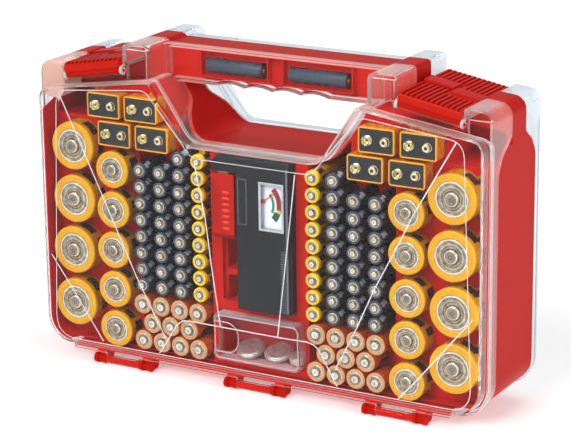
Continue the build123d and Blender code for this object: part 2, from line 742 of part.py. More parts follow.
def tester_slider():
    """The red arm that clamps a cell against the top contact, with its thumb ridges."""
    grip = block(SLIDER_X, SLIDER_Y, SLIDER_Z)
    grip = chamfer(grip.edges().filter_by(Axis.X).sort_by(Axis.Y)[:2].sort_by(Axis.Z)[0:1], 4.0)
    rail = block(SLIDER_RAIL, (SLIDER_Y[1] - 1, MIDDLE_DECK + 2.9), (SLIDER_Z[0] + 2, SLIDER_Z[1] - 2))
    arm = grip + rail
    first, pitch, count = THUMB_RIDGES
    for ridge in range(count):
        z = first + ridge * pitch
        arm -= block((SLIDER_X[0] + 9, SLIDER_X[1] - 4), (SLIDER_Y[0] - 1, SLIDER_Y[0] + 0.7), (z, z + 2.2))
    return arm


def contact_plates():
    """The fixed plate under the top bar and the one on the arm."""
    middle = (SLIDER_X[0] + SLIDER_X[1]) / 2
    fixed = block((middle - 4, middle + 4), (-40.5, -34.5), (BAR_Z - 0.6, BAR_Z))
    moving = block((middle - 4, middle + 4), (-40.5, -34.5), (SLIDER_Z[1], SLIDER_Z[1] + 0.6))
    return fixed, moving


def meter():
    """The parts of the meter behind its window."""
    x, z = WINDOW_X, WINDOW_Z
    face = TESTER_FRONT
    frame = block(x, (face - 0.8, face + 1.4), z)
    rim = WINDOW_RIM
    frame -= block((x[0] + rim, x[1] - rim), (face - 2, face + 3), (z[0] + rim, z[1] - rim))
    window = block((x[0] + rim, x[1] - rim), (face + 0.2, face + 1.0), (z[0] + rim, z[1] - rim))
    card = block((x[0], x[1]), (face + 3.4, face + 3.8), (z[0], z[1]))
    card -= rod_y(PIVOT[0], PIVOT[1], 1.4, face, face + 9)
    housing = block((x[0], x[1]), (face + 3.8, face + 15.0), (z[0] + 2, z[1] - 2))
    housing -= rod_y(PIVOT[0], PIVOT[1], 1.4, face + 3, face + 10)
    shaft = rod_y(PIVOT[0], PIVOT[1], 0.7, face + 2.0, face + 9.7)
    angle = radians(NEEDLE_ANGLE)
    middle = Pos(PIVOT[0] + cos(angle) * NEEDLE_LENGTH / 2, face + 2.4,
                 PIVOT[1] + sin(angle) * NEEDLE_LENGTH / 2)
    blade = middle * Rot(0, -NEEDLE_ANGLE, 0) * Box(NEEDLE_LENGTH, 0.4, 0.7)
    hub = rod_y(PIVOT[0], PIVOT[1], 1.2, face + 2.0, face + 2.8)
    return {"meter_bezel": frame, "meter_window": window, "dial_card": card,
            "meter_movement": housing, "meter_needle": blade + hub + shaft}


def tester_insides():
    """The load resistor, the snap studs for square cells and the screws of the back cover."""
    inner_back = TESTER_BACK - TESTER_WALL
    resistor = rod_x(inner_back - 3.0, 100.0, 3.0, -4.0, 12.0)
    studs = [rod_y(x, 72.0, 2.6, inner_back - 4.0, inner_back) for x in (1.0, 13.7)]
    screws = []
    for x, z in ((22.0, 66.0), (22.0, 110.0), (-24.0, 160.0)):
        screws.append(rod_y(x, z, 1.2, inner_back - 5.0, inner_back))
    return resistor, studs, screws


# ================================================================ the coin bin
def bin_cover():
    """The clear cover of the coin bin, with the finger notch in its left edge."""
    x, z = BIN_X, BIN_Z
    inset = POCKET_GAP
    face = Pos((x[0] + x[1]) / 2, (z[0] + z[1]) / 2) * RectangleRounded(
        x[1] - x[0] - 2 * inset, z[1] - z[0] - 2 * inset, 5.0)
    cover = slab(face, BIN_FRONT, MIDDLE_DECK + 3.0)
    cover = fillet(cover.edges().group_by(Axis.Y)[0], 1.2)
    cover -= slab(offset(face, amount=-COIN_WALL), BIN_FRONT + COIN_WALL, MIDDLE_DECK + 4.0)
    notch = Pos(x[0] + 8.0, (z[0] + z[1]) / 2) * RectangleRounded(24.0, 21.0, 9.0)
    return cover - slab(notch, BIN_FRONT - 1, MIDDLE_DECK - 0.5)


def coin_cells():
    """Coin cells lying loose on the bin's floor, each tipped on its edge."""
    coins = []
    floor = BIN_Z[0] + POCKET_GAP + COIN_WALL
    for x, y, diameter, thick in COINS:
        lift = floor + 0.3 + (diameter / 2) * sin(radians(COIN_LEAN)) + thick / 2
        coin = Cylinder(diameter / 2, thick)
        coin = fillet(coin.edges(), 0.4)
        coins.append(Pos(x, y, lift) * Rot(COIN_LEAN, 0, 0) * coin)
    return coins


# ================================================================ assembly
def build_nodes():
    """Every node of the case, by name."""
    yellow, dark = aaa_places()
    nodes = {"case_body": case_body(), "front_lid": front_lid(), "back_lid": back_lid()}
    nodes.update(latches())
    nodes["front_hinge_rods"] = hinge_rods()
    nodes["back_hinge_rods"] = [half_turn(rod) for rod in hinge_rods()]
    nodes["middle_tray"] = middle_tray()
    nodes["side_trays"] = [side_tray(-1), side_tray(1)]
    for name, cell, nub, places in (
        ("d_cell", D_CELL, D_NUB, both_sides(D_PLACES)),
        ("c_cell", C_CELL, C_NUB, both_sides(C_PLACES)),
        ("aa_cell", AA_CELL, AA_NUB, aa_places()),
        ("yellow_aaa_cell", AAA_CELL, AAA_NUB, yellow),
        ("dark_aaa_cell", AAA_CELL, AAA_NUB, dark),
    ):
        nodes[name + "_jackets"], nodes[name + "_caps"] = cells_at(cell, nub, places)
    nodes["nine_volt_jackets"], nodes["nine_volt_plates"], nodes["nine_volt_snaps"] = nine_volt_cells()
    nodes["handle_cell_jackets"], nodes["handle_cell_nubs"] = handle_cells()
    nodes["back_cell_jackets"], nodes["back_cell_nubs"] = back_cells()
    nodes["tester_front_shell"] = tester_front_shell()
    nodes["tester_back_shell"] = tester_back_shell()
    nodes["tester_slider"] = tester_slider()
    nodes["tester_top_contact"], nodes["tester_slider_contact"] = contact_plates()
    nodes.update(meter())
    nodes["load_resistor"], nodes["tester_snap_studs"], nodes["tester_screws"] = tester_insides()
    nodes["bin_cover"] = bin_cover()
    nodes["coin_cells"] = coin_cells()
    return nodes


def solids_of(shape):
    """A flat list of the solids in a shape or in a list of shapes."""
    shapes = shape if isinstance(shape, list) else [shape]
    return [solid for item in shapes for solid in item.solids()]


def main():
    """Writes one STEP file for each node."""
    os.makedirs("parts", exist_ok=True)
    for name, shape in build_nodes().items():
        solids = solids_of(shape)
        whole = solids[0] if len(solids) == 1 else Compound(children=solids)
        whole.label = name
        export_step(whole, os.path.join("parts", name + ".step"))
        print(name, len(solids), "solids")


main()
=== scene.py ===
"""Looks for a two-sided carry case of household cells with a tester in its middle.

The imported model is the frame. Its mouldings keep their shape and get their finishes here. The
cells, their caps and snaps, the coin cells and the small details are built here as meshes. Sizes
are in millimetres and become metres when a mesh is made. The case's front is at low Y, and a
depth is a place along Y.
"""

from __future__ import annotations

import logging
import math
import random
from dataclasses import dataclass, field
from enum import Enum
from typing import Any, Sequence

import bmesh
import bpy
from mathutils import Matrix, Vector

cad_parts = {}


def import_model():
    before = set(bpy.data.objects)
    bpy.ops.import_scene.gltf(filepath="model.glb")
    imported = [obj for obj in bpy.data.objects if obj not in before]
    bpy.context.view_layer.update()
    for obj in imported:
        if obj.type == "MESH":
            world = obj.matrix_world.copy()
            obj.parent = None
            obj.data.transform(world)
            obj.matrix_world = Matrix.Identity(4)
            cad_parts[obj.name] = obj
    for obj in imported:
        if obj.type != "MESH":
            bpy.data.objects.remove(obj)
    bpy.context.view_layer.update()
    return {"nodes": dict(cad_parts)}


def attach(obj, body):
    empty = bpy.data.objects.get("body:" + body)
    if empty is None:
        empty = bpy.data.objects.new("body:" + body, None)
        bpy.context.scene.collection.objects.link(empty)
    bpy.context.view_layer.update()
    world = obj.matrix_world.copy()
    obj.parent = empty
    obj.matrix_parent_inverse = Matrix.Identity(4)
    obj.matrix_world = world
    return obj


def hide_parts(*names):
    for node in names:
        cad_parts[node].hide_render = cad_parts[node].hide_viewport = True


LOG = logging.getLogger("battery_case")
MM = 0.001
IN_PLACE = Matrix.Identity(4)
HALF_TURN = Matrix.Rotation(math.pi, 4, "Z")
QUARTER_TURN = Matrix.Rotation(math.pi / 2, 4, "Z")
# Nearly all values of a noise pattern lie between these two.
NOISE_LOW, NOISE_HIGH = 0.3, 0.7
# How far the foot of a raised detail goes into the face that it stands on.
SUNK = 0.05
# Two radii of a profile that differ by less than this make a straight side.
STRAIGHT = 0.05

Point = tuple[float, float, float]
Pair = tuple[float, float]
Pairs = tuple[Pair, ...]
Box = tuple[float, float, float, float]
# A printed area of a cell's side: low angle, high angle, low depth, high depth, finish number.
Patch = tuple[float, float, float, float, int]
# Values of a shader's sockets by name.
Sockets = tuple[tuple[str, float], ...]
Tree = bpy.types.NodeTree
Socket = bpy.types.NodeSocket


class Body(Enum):
    """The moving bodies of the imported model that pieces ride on."""

    CASE = "case"
    FRONT_LID = "front_lid"
    BACK_LID = "back_lid"
    SLIDER = "slider"
    FRONT_LATCH_LEFT = "front_latch_left"
    FRONT_LATCH_RIGHT = "front_latch_right"
    BACK_LATCH_LEFT = "back_latch_left"
    BACK_LATCH_RIGHT = "back_latch_right"


class Slot(Enum):
    """Material slot names that each new piece is published with."""

    LARGE_JACKET = "yellow_jacket_large"
    NICKEL = "nickel_steel"
    ORANGE_JACKET = "orange_jacket"
    SMALL_JACKET = "yellow_jacket_small"
    SLATE_JACKET = "slate_jacket"
    AMBER_JACKET = "amber_jacket"
    TOP_PLATE = "dark_top_plate"
    CLEAR = "clear_polystyrene"
    DARK_ABS = "dark_abs"
    CARD = "printed_card"
    RED_ARM = "red_arm"
    RED = "red_polypropylene"
    RED_TRAY = "red_tray"
    RED_LATCH = "red_latch"


# Both lids have the same lines and bosses, the back one turned half round.
LID_TURNS = {Body.FRONT_LID: IN_PLACE, Body.BACK_LID: HALF_TURN}


# ---------------------------------------------------------------- nodes and finishes
def linear(hex_colour: str) -> tuple[float, float, float, float]:
    """Turns an sRGB hex colour into linear RGBA.

    Args:
        hex_colour: six hex digits with a leading hash sign.

    Returns:
        Red, green, blue and alpha as Blender's sockets take them.
    """
    values = [int(hex_colour[i:i + 2], 16) / 255 for i in (1, 3, 5)]
    return (*[v / 12.92 if v <= 0.04045 else ((v + 0.055) / 1.055) ** 2.4 for v in values], 1.0)


def add_node(tree: Tree, kind: str, inputs: dict[str | int, Any] | None = None,
             **settings: Any) -> bpy.types.Node:
    """Adds a node with its settings and links.

    Args:
        tree: the material's node tree.
        kind: the node's type name.
        inputs: values or output sockets by input name or number.
        settings: attributes of the node itself.

    Returns:
        The new node.
    """
    node = tree.nodes.new(kind)
    for name, value in settings.items():
        setattr(node, name, value)
    for name, value in (inputs or {}).items():
        if isinstance(value, Socket):
            tree.links.new(value, node.inputs[name])
        else:
            node.inputs[name].default_value = value
    return node


@dataclass(frozen=True)
class Finish:
    """What every finish has: its material's name, and the way to make the material."""

    name: str

    def build(self) -> bpy.types.Material:
        """Makes the material the first time and gives the same one after that.

        Returns:
            The material.
        """
        material = bpy.data.materials.get(self.name)
        if material is None:
            material = bpy.data.materials.new(self.name)
            material.use_nodes = True
            tree = material.node_tree
            tree.nodes.clear()
            add_node(tree, "ShaderNodeOutputMaterial", {"Surface": self.surface(tree)})
        return material

    def surface(self, tree: Tree) -> Socket:
        """Builds the shader; each kind of finish has its own.

        Args:
            tree: the material's node tree.

        Returns:
            The shader's output socket.
        """
        raise NotImplementedError


@dataclass(frozen=True)
class Mottled(Finish):
    """A finish of two tones that drift into each other, with a finer grain in its gloss.

    The grain also gives the relief, unless the surface has pits.
    """

    face: str
    deep: str
    gloss: Pair
    grain_mm: float
    relief_mm: float
    grain_detail: float = 2.0
    drift_mm: float = 55.0
    drift_detail: float = 2.0
    drift_from: Pair = (0.0, 1.0)
    pits_mm: float = 0.0
    strength: float = 0.3
    sockets: Sockets = ()

    def surface(self, tree: Tree) -> Socket:
        """See Finish.surface."""
        place = add_node(tree, "ShaderNodeTexCoord").outputs["Object"]
        drift, grain = (
            add_node(tree, "ShaderNodeTexNoise", {
                "Vector": place, "Scale": 1 / (size * MM), "Detail": detail}).outputs["Fac"]
            for size, detail in ((self.drift_mm, self.drift_detail),
                                 (self.grain_mm, self.grain_detail)))
        tone, rough = (
            add_node(tree, "ShaderNodeMapRange", {
                "Value": value, "From Min": start, "From Max": end, "To Min": low,
                "To Max": high}).outputs["Result"]
            for value, start, end, low, high in (
                (drift, *self.drift_from, 0.0, 1.0), (grain, NOISE_LOW, NOISE_HIGH, *self.gloss)))
        height = grain
        if self.pits_mm:
            height = add_node(tree, "ShaderNodeTexVoronoi", {
                "Vector": place, "Scale": 1 / (self.pits_mm * MM)}).outputs["Distance"]
        colour = add_node(tree, "ShaderNodeMix", {
            0: tone, 6: linear(self.face), 7: linear(self.deep)}, data_type="RGBA").outputs[2]
        normal = add_node(tree, "ShaderNodeBump", {
            "Height": height, "Distance": self.relief_mm * MM,
            "Strength": self.strength}).outputs["Normal"]
        return add_node(tree, "ShaderNodeBsdfPrincipled", {
            "Base Color": colour, "Roughness": rough, "Normal": normal,
            **dict(self.sockets)}).outputs[0]


@dataclass(frozen=True)
class MouldedPlastic(Mottled):
    """Polypropylene or acetal, injection moulded against a satin tool.

    The tool's texture breaks the highlight into a soft sheen, and the colour drifts a little
    over a hand's width where the melt cooled unevenly. The real texture is about 0.1 mm and
    too fine to show, so it is drawn some ten times as coarse.
    """

    gloss: Pair = (0.3, 0.42)
    grain_mm: float = 0.9
    relief_mm: float = 0.03
    drift_detail: float = 1.0
    strength: float = 0.5
    sockets: Sockets = (("IOR", 1.49), ("Specular IOR Level", 0.05))


@dataclass(frozen=True)
class PrintedFilm(Mottled):
    """Metallised film, printed and shrunk round a cell.

    It is a smooth, glossy colour under a clear lacquer, with shallow creases from the shrinking.
    """

    gloss: Pair = (0.22, 0.34)
    grain_mm: float = 2.5
    relief_mm: float = 0.04
    drift_mm: float = 9.0
    sockets: Sockets = (
        ("IOR", 1.5), ("Specular IOR Level", 0.3), ("Coat Weight", 0.15), ("Coat Roughness", 0.12))


@dataclass(frozen=True)
class PressedMetal(Mottled):
    """Steel or brass sheet, pressed and then plated, and the bezel's plated plastic.

    It is bright, with faint wipe marks and cloudy spots; the spots are a painted reflection of the
    surroundings. Real wipe marks are hair fine, and are drawn 0.7 mm wide so that they show.
    """

    gloss: Pair = (0.14, 0.3)
    grain_mm: float = 0.7
    relief_mm: float = 0.01
    grain_detail: float = 3.0
    drift_mm: float = 3.5
    # Stretched to the full range of the noise, for the painted reflection's cloudy spots.
    drift_from: Pair = (NOISE_LOW, NOISE_HIGH)
    sockets: Sockets = (("Metallic", 1.0),)


@dataclass(frozen=True)
class SparkTextured(Mottled):
    """ABS or phenolic moulded in a spark-eroded tool.

    It is matt and even, with a grain of shallow pits. Real pits are about 0.1 mm and too fine
    to show, so they are drawn some five times as coarse.
    """

    gloss: Pair = (0.48, 0.62)
    grain_mm: float = 1.2
    relief_mm: float = 0.05
    drift_mm: float = 1.2
    pits_mm: float = 0.55
    strength: float = 0.35
    sockets: Sockets = (("IOR", 1.52), ("Specular IOR Level", 0.2))


@dataclass(frozen=True)
class MattePaper(Mottled):
    """Coated card, ink on it, paint or fired clay.

    It is a flat colour with a faint tooth, which is drawn coarser than the real 0.1 mm.
    """

    gloss: Pair = (0.5, 0.7)
    grain_mm: float = 0.6
    relief_mm: float = 0.01
    drift_mm: float = 0.6
    sockets: Sockets = (("IOR", 1.45),)


@dataclass(frozen=True)
class HighlightPolystyrene(Mottled):
    """Polystyrene for the lids' raised lines and rims, drawn white as painted highlights.

    The white is painted light caught along their edges; a grain 1.2 mm wide breaks up their gloss,
    and they let some light through.
    """

    gloss: Pair = (0.1, 0.3)
    grain_mm: float = 1.2
    relief_mm: float = 0.0
    sockets: Sockets = (("IOR", 1.45), ("Transmission Weight", 0.45))


@dataclass(frozen=True)
class ClearPolystyrene(Finish):
    """Crystal polystyrene, moulded against a polished tool.

    It is clear where it is seen straight on and turns milky where a wall is seen along its
    length, as thick flanges and posts do. Light from the lamps goes through it, so that the
    cells behind it are lit as in the real case. The walls are thin, so it bends light less
    than a solid block would.
    """

    tint: str = "#FBFCFE"
    # The default milk is pink as a painted reflection of the red case.
    milk: str = "#EBD0C8"
    milkiness: float = 0.5
    ior: float = 1.22
    haze: float = 0.05
    flow_mm: float = 25.0
    flow_depth_mm: float = 0.05
    milky_from: Pair = (0.34, 0.85)
    lamp_tint: str = "#F3F6F8"

    def surface(self, tree: Tree) -> Socket:
        """See Finish.surface."""
        place = add_node(tree, "ShaderNodeTexCoord").outputs["Object"]
        flow = add_node(tree, "ShaderNodeTexNoise", {
            "Vector": place, "Scale": 1 / (self.flow_mm * MM), "Detail": 1.0}).outputs["Fac"]
        facing = add_node(tree, "ShaderNodeLayerWeight", {"Blend": 0.5}).outputs["Facing"]
        rough, along = (
            add_node(tree, "ShaderNodeMapRange", {
                "Value": value, "From Min": start, "From Max": end, "To Min": 0.0,
                "To Max": high}).outputs["Result"]
            for value, start, end, high in ((flow, NOISE_LOW, NOISE_HIGH, self.haze),
                                            (facing, *self.milky_from, self.milkiness)))
        wave = add_node(tree, "ShaderNodeBump", {
            "Height": flow, "Distance": self.flow_depth_mm * MM,
            "Strength": 0.25}).outputs["Normal"]
        glass = add_node(tree, "ShaderNodeBsdfPrincipled", {
            "Base Color": linear(self.tint), "Roughness": rough, "Normal": wave,
            "Transmission Weight": 1.0, "IOR": self.ior})
        cloud = add_node(tree, "ShaderNodeBsdfPrincipled", {
            "Base Color": linear(self.milk), "Roughness": 0.35, "IOR": 1.45})
        body = add_node(tree, "ShaderNodeMixShader", {
            0: along, 1: glass.outputs[0], 2: cloud.outputs[0]})
        through = add_node(tree, "ShaderNodeBsdfTransparent", {"Color": linear(self.lamp_tint)})
        lamp_ray = add_node(tree, "ShaderNodeLightPath").outputs["Is Shadow Ray"]
        return add_node(tree, "ShaderNodeMixShader", {
            0: lamp_ray, 1: body.outputs[0], 2: through.outputs[0]}).outputs[0]


@dataclass(frozen=True)
class StudioPaper(Finish):
    """The pale seamless paper that the case stands on, lit from behind so that it stays white."""

    face: str = "#FBFBFB"
    glow: float = 0.36

    def surface(self, tree: Tree) -> Socket:
        """See Finish.surface."""
        return add_node(tree, "ShaderNodeBsdfPrincipled", {
            "Base Color": linear(self.face), "Roughness": 0.9, "Emission Color": linear(self.face),
            "Emission Strength": self.glow}).outputs[0]


# The red mouldings: polypropylene for the case, smoother acetal for what moves.
RED_BODY = MouldedPlastic("Polypropylene_red_moulded", "#C81B0C", "#BA150A")
RED_TRAY = MouldedPlastic("Polypropylene_red_tray", "#C91A10", "#B3120D", (0.28, 0.4))
RED_ARM = MouldedPlastic("Acetal_red_arm", "#B81A0E", "#AC160C", (0.28, 0.4), 1.1, 0.02)
# Lighter and darker copies of the arm's acetal: a painted highlight on the slider's ridges, and
# painted shade on the bars under them and on the facet above.
RED_PAINTED_HIGHLIGHT = MouldedPlastic("Acetal_red_painted_highlight", "#EC4A30", "#E04028", (0.24, 0.36), 1.1, 0.02)
RED_PAINTED_SHADE = MouldedPlastic("Acetal_red_painted_shade", "#A8150F", "#96110C", (0.3, 0.42), 1.1, 0.02)
RED_LATCH = MouldedPlastic("Acetal_red_moulded", "#D02016", "#C01A12", (0.24, 0.36), 1.1, 0.02)
# The latches' rolls: smoother acetal, a little lighter than the latch as a painted highlight.
RED_ROLL = MouldedPlastic("Acetal_red_polished_painted_highlight", "#D6281A", "#C82014", (0.2, 0.3), 1.1, 0.015)
# The lids, covers and their lines, which are drawn white as painted highlights. The warm core
# stands for red seen through thick walls.
CORE_WARM = MouldedPlastic("Polystyrene_frosted_warm", "#D2A99C", "#CCA193", (0.2, 0.3), 1.2, 0.02)
CLEAR = ClearPolystyrene("Polystyrene_clear_moulded")
CLEAR_BACK = ClearPolystyrene("Polystyrene_clear_back", "#EEF4F8", "#DCE6EE", 0.65)
CLEAR_COVER = ClearPolystyrene("Polystyrene_clear_cover", "#FAF9F9", "#F4F0F0", 0.6)
CLEAR_WINDOW = ClearPolystyrene("Polystyrene_clear_window", "#FFFFFF", "#F4F0F0", 0.08)
LINE_HIGHLIGHT = HighlightPolystyrene("Polystyrene_painted_highlight", "#FFFFFF", "#FFFFFF")
RIM_HIGHLIGHT_WARM = HighlightPolystyrene("Polystyrene_painted_highlight_warm", "#E9CBC6", "#E9CBC6")
# The tester's shells and the square cells' plates: matt and dark, with ribs painted paler as a
# painted highlight.
DARK_ABS = SparkTextured("ABS_charcoal_textured", "#26272B", "#1D1E22")
RIB_HIGHLIGHT = SparkTextured("ABS_charcoal_painted_highlight", "#74777F", "#5F6269", pits_mm=0.9)
TOP_PLATE = SparkTextured("Phenolic_dark_plate", "#343436", "#2A2A2C", pits_mm=0.9)
# Contacts: bright rims and snaps. The dishes and the coins' steps are rougher and painted darker
# as painted shade. Creases, dimples and snap sockets are painted deeper shade, warmed by a painted
# reflection of the film, and the large cells' nub tops are painted darker as painted shade.
NICKEL = PressedMetal("Steel_nickel_plated", "#FBF6EA", "#D9D0BC", (0.16, 0.3))
NICKEL_PAINTED_SHADE = PressedMetal("Steel_nickel_painted_shade", "#C2B59D", "#80745F", (0.24, 0.38))
NICKEL_PAINTED_DEEP_SHADE = PressedMetal("Steel_nickel_painted_deep_shade", "#665238", "#463624", (0.35, 0.5))
NUB_TOP_PAINTED_SHADE = PressedMetal("Steel_nickel_nub_painted_shade", "#B2A896", "#8A806E", (0.26, 0.4))
COIN_STEEL = PressedMetal("Steel_bright_rolled", "#FFFEFA", "#E6E1D4", (0.4, 0.52))
SNAP = PressedMetal("Steel_nickel_snap", "#FFF3CC", "#C8B684", (0.12, 0.26))
BRASS = PressedMetal("Brass_plated", "#E3C987", "#B79A55", (0.15, 0.3))
SILVER = PressedMetal("Plastic_silver_plated", "#D4D5DA", "#BFC0C6", (0.18, 0.3))
# The cells' films: each has a ring at its end, a side and plain blocks of print.
YELLOW_RING = PrintedFilm("Film_yellow_ring", "#DCA206", "#D39605")
AMBER_SIDE = PrintedFilm("Film_amber_side", "#C98A0A", "#B47406")
BLACK_PRINT = PrintedFilm("Film_black_block", "#1D1B1C", "#2A2523")
SMALL_YELLOW = PrintedFilm("Film_small_yellow", "#EECA12", "#E4B80C")
SLATE = PrintedFilm("Film_slate", "#29313C", "#1F2630")
SLATE_EDGE = PrintedFilm("Film_slate_edge", "#434C58", "#343D49")
GREY_FLASH = PrintedFilm("Film_grey_flash", "#B4B7BC", "#8F949B")
ORANGE = PrintedFilm("Film_orange", "#CC5418", "#BA4612")
PEACH_RING = PrintedFilm("Film_peach_ring", "#CE9869", "#C28855")
NINE_RIM = PrintedFilm("Film_gold_rim", "#E8A41E", "#DC9414")
NINE_SIDE = PrintedFilm("Film_gold_side", "#D17C1B", "#B86416")
# The dial, its needle and the load resistor's body.
CARD = MattePaper("Card_pale_printed", "#FFFFFF", "#F6F6FC")
INK_RED = MattePaper("Ink_red", "#A81A22", "#96141C")
INK_YELLOW = MattePaper("Ink_yellow", "#F4DC1E", "#E8CC14")
INK_GREEN = MattePaper("Ink_green", "#1E9A63", "#178655")
INK_DARK_GREEN = MattePaper("Ink_dark_green", "#1F5A3C", "#184A30")
INK_BLACK = MattePaper("Ink_black", "#33333A", "#2A2A30")
NEEDLE = MattePaper("Paint_orange", "#E0541E", "#D04814")
CERAMIC = MattePaper("Ceramic_buff", "#C9B48C", "#B9A27A")
FLOOR = StudioPaper("Paper_pale")

CAD_FINISHES: dict[str, Finish] = {
    "case_body": RED_BODY, "middle_tray": RED_TRAY, "side_trays": RED_TRAY,
    "front_hinge_rods": RED_BODY, "back_hinge_rods": RED_BODY,
    "front_latch_left": RED_LATCH, "front_latch_right": RED_LATCH,
    "back_latch_left": RED_LATCH, "back_latch_right": RED_LATCH,
    "front_lid": CLEAR, "back_lid": CLEAR_BACK, "bin_cover": CLEAR_COVER,
    "meter_window": CLEAR_WINDOW, "tester_front_shell": DARK_ABS, "tester_back_shell": DARK_ABS,
    "meter_movement": DARK_ABS, "tester_slider": RED_ARM, "meter_bezel": SILVER,
    "dial_card": CARD, "meter_needle": NEEDLE, "tester_top_contact": BRASS,
    "tester_slider_contact": BRASS, "load_resistor": CERAMIC, "tester_snap_studs": NICKEL,
    "tester_screws": NICKEL,
}


# ---------------------------------------------------------------- meshes
@dataclass
class Sketch:
    """A mesh in the making: points in millimetres, faces and one finish number for each face."""

    points: list[Point] = field(default_factory=list)
    faces: list[tuple[int, ...]] = field(default_factory=list)
    finishes: list[int] = field(default_factory=list)

    def add(self, other: Sketch, matrix: Matrix = IN_PLACE) -> Sketch:
        """Adds another sketch, moved by a matrix.

        Args:
            other: the sketch to copy in.
            matrix: where it goes.

        Returns:
            This sketch.
        """
        start = len(self.points)
        self.points += [tuple(matrix @ Vector(p)) for p in other.points]
        self.faces += [tuple(start + i for i in face) for face in other.faces]
        self.finishes += other.finishes
        return self

    def rows(self, rings: Sequence[Sequence[Point]], finish: Sequence[int] | int = 0,
             looped: bool = False) -> Sketch:
        """Joins closed rings of points, each with as many points as the next, into one skin.

        Args:
            rings: the rings in order.
            finish: the finish number, or one for each band between two rings.
            looped: whether the last ring joins the first; if not, both are filled with a face.

        Returns:
            This sketch.
        """
        start, size, count = len(self.points), len(rings[0]), len(rings)
        numbers = [finish] * count if isinstance(finish, int) else [*finish, finish[-1]]
        self.points += [tuple(p) for ring in rings for p in ring]
        for band in range(count if looped else count - 1):
            low, high = start + band * size, start + (band + 1) % count * size
            for i in range(size):
                j = (i + 1) % size
                self.faces.append((low + i, low + j, high + j, high + i))
                self.finishes.append(numbers[band])
        for ring in () if looped else (0, count - 1):
            self.faces.append(tuple(start + ring * size + i for i in range(size)))
            self.finishes.append(numbers[ring])
        return self

    def bar(self, ends: Pair, z: float, face: float, section: Sequence[Pair],
            finish: int = 0) -> Sketch:
        """Adds a bar that lies along X on a face.

        Args:
            ends: where it starts and ends along X.
            z: its height.
            face: the depth of the face.
            section: its outline as (up, depth from the face) pairs.
            finish: its finish number.

        Returns:
            This sketch.
        """
        return self.rows([[(x, face + lift, z + up) for up, lift in section] for x in ends], finish)

    def publish(self, name: str, slot: Slot, finishes: Sequence[Finish], *replaced: str,
                body: Body = Body.CASE, sharp: float = 38.0) -> None:
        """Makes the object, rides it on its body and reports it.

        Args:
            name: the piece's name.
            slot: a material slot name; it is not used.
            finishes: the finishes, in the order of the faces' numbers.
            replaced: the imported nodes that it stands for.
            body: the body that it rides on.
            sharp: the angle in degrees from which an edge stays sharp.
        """
        mesh = bpy.data.meshes.new(name)
        mesh.from_pydata([[c * MM for c in p] for p in self.points], [], self.faces)
        mesh.polygons.foreach_set("material_index", self.finishes)
        form = bmesh.new()
        form.from_mesh(mesh)
        bmesh.ops.recalc_face_normals(form, faces=form.faces)
        form.to_mesh(mesh)
        form.free()
        mesh.shade_smooth()
        mesh.set_sharp_from_angle(angle=math.radians(sharp))
        for finish in finishes:
            mesh.materials.append(finish.build())
        piece = link(name, mesh)
        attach(piece, body.value)
        if replaced:
            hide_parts(*replaced)
        LOG.info("%s: %d faces on %s", name, len(mesh.polygons), body.value)


def link(name: str, data: bpy.types.ID) -> bpy.types.Object:
    """Makes an object and puts it in the scene.

    Args:
        name: the object's name.
        data: its mesh, lamp or camera.

    Returns:
        The new object.
    """
    piece = bpy.data.objects.new(name, data)
    bpy.context.scene.collection.objects.link(piece)
    return piece


def turned(profile: Sequence[Pair], segments: int, patches: Sequence[Patch] = (),
           bands: Sequence[int] = (), spin: float = 0.0, looped: bool = False) -> Sketch:
    """A form turned about the Y axis, from its front to its back.

    Args:
        profile: (radius, depth) pairs; a radius of 0 is a pole.
        segments: how many faces go round.
        patches: printed areas of the straight side.
        bands: the finish number of each band of the profile; 0 if left out.
        spin: degrees by which the patches are turned.
        looped: whether the profile's end joins its start, as in a ring.

    Returns:
        The form.
    """
    form = Sketch()
    rings: list[list[int]] = []
    for radius, depth in profile:
        count = segments if radius else 1
        rings.append([len(form.points) + i for i in range(count)])
        for i in range(count):
            angle = math.tau * i / segments
            form.points.append((radius * math.cos(angle), depth, radius * math.sin(angle)))
    for band in range(len(rings) if looped else len(rings) - 1):
        after = (band + 1) % len(rings)
        near, far = rings[band], rings[after]
        middle = (profile[band][1] + profile[after][1]) / 2
        straight = abs(profile[band][0] - profile[after][0]) < STRAIGHT
        for i in range(segments):
            j = (i + 1) % segments
            corners = (near[i % len(near)], near[j % len(near)], far[j % len(far)],
                       far[i % len(far)])
            form.faces.append(tuple(dict.fromkeys(corners)))
            number = bands[band] if bands else 0
            angle = (360 * (i + 0.5) / segments - spin) % 360
            for low, high, start, end, patch in patches:
                if straight and start < middle < end and low <= angle < high:
                    number = patch
            form.finishes.append(number)
    return form


def outline(box: Box, radius: float, inset: float, depth: float, steps: int = 5,
            least: float = 0.8) -> list[Point]:
    """A rectangle with rounded corners that faces along Y.

    Args:
        box: its left, right, low and high edges.
        radius: of its corners; it shrinks with the inset.
        inset: how far inside the box it lies.
        depth: its place along Y.
        steps: how many edges each corner has.
        least: the smallest radius.

    Returns:
        Its points, anticlockwise.
    """
    left, right, low, high = box
    reach = max(radius - inset, least)
    points = []
    for quarter in range(4):
        middle = math.radians(45 + 90 * quarter)
        across = math.copysign((right - left) / 2 - inset - reach, math.cos(middle))
        up = math.copysign((high - low) / 2 - inset - reach, math.sin(middle))
        for step in range(steps + 1):
            angle = math.radians(90 * quarter + 90 * step / steps)
            points.append(((left + right) / 2 + across + reach * math.cos(angle), depth,
                           (low + high) / 2 + up + reach * math.sin(angle)))
    return points


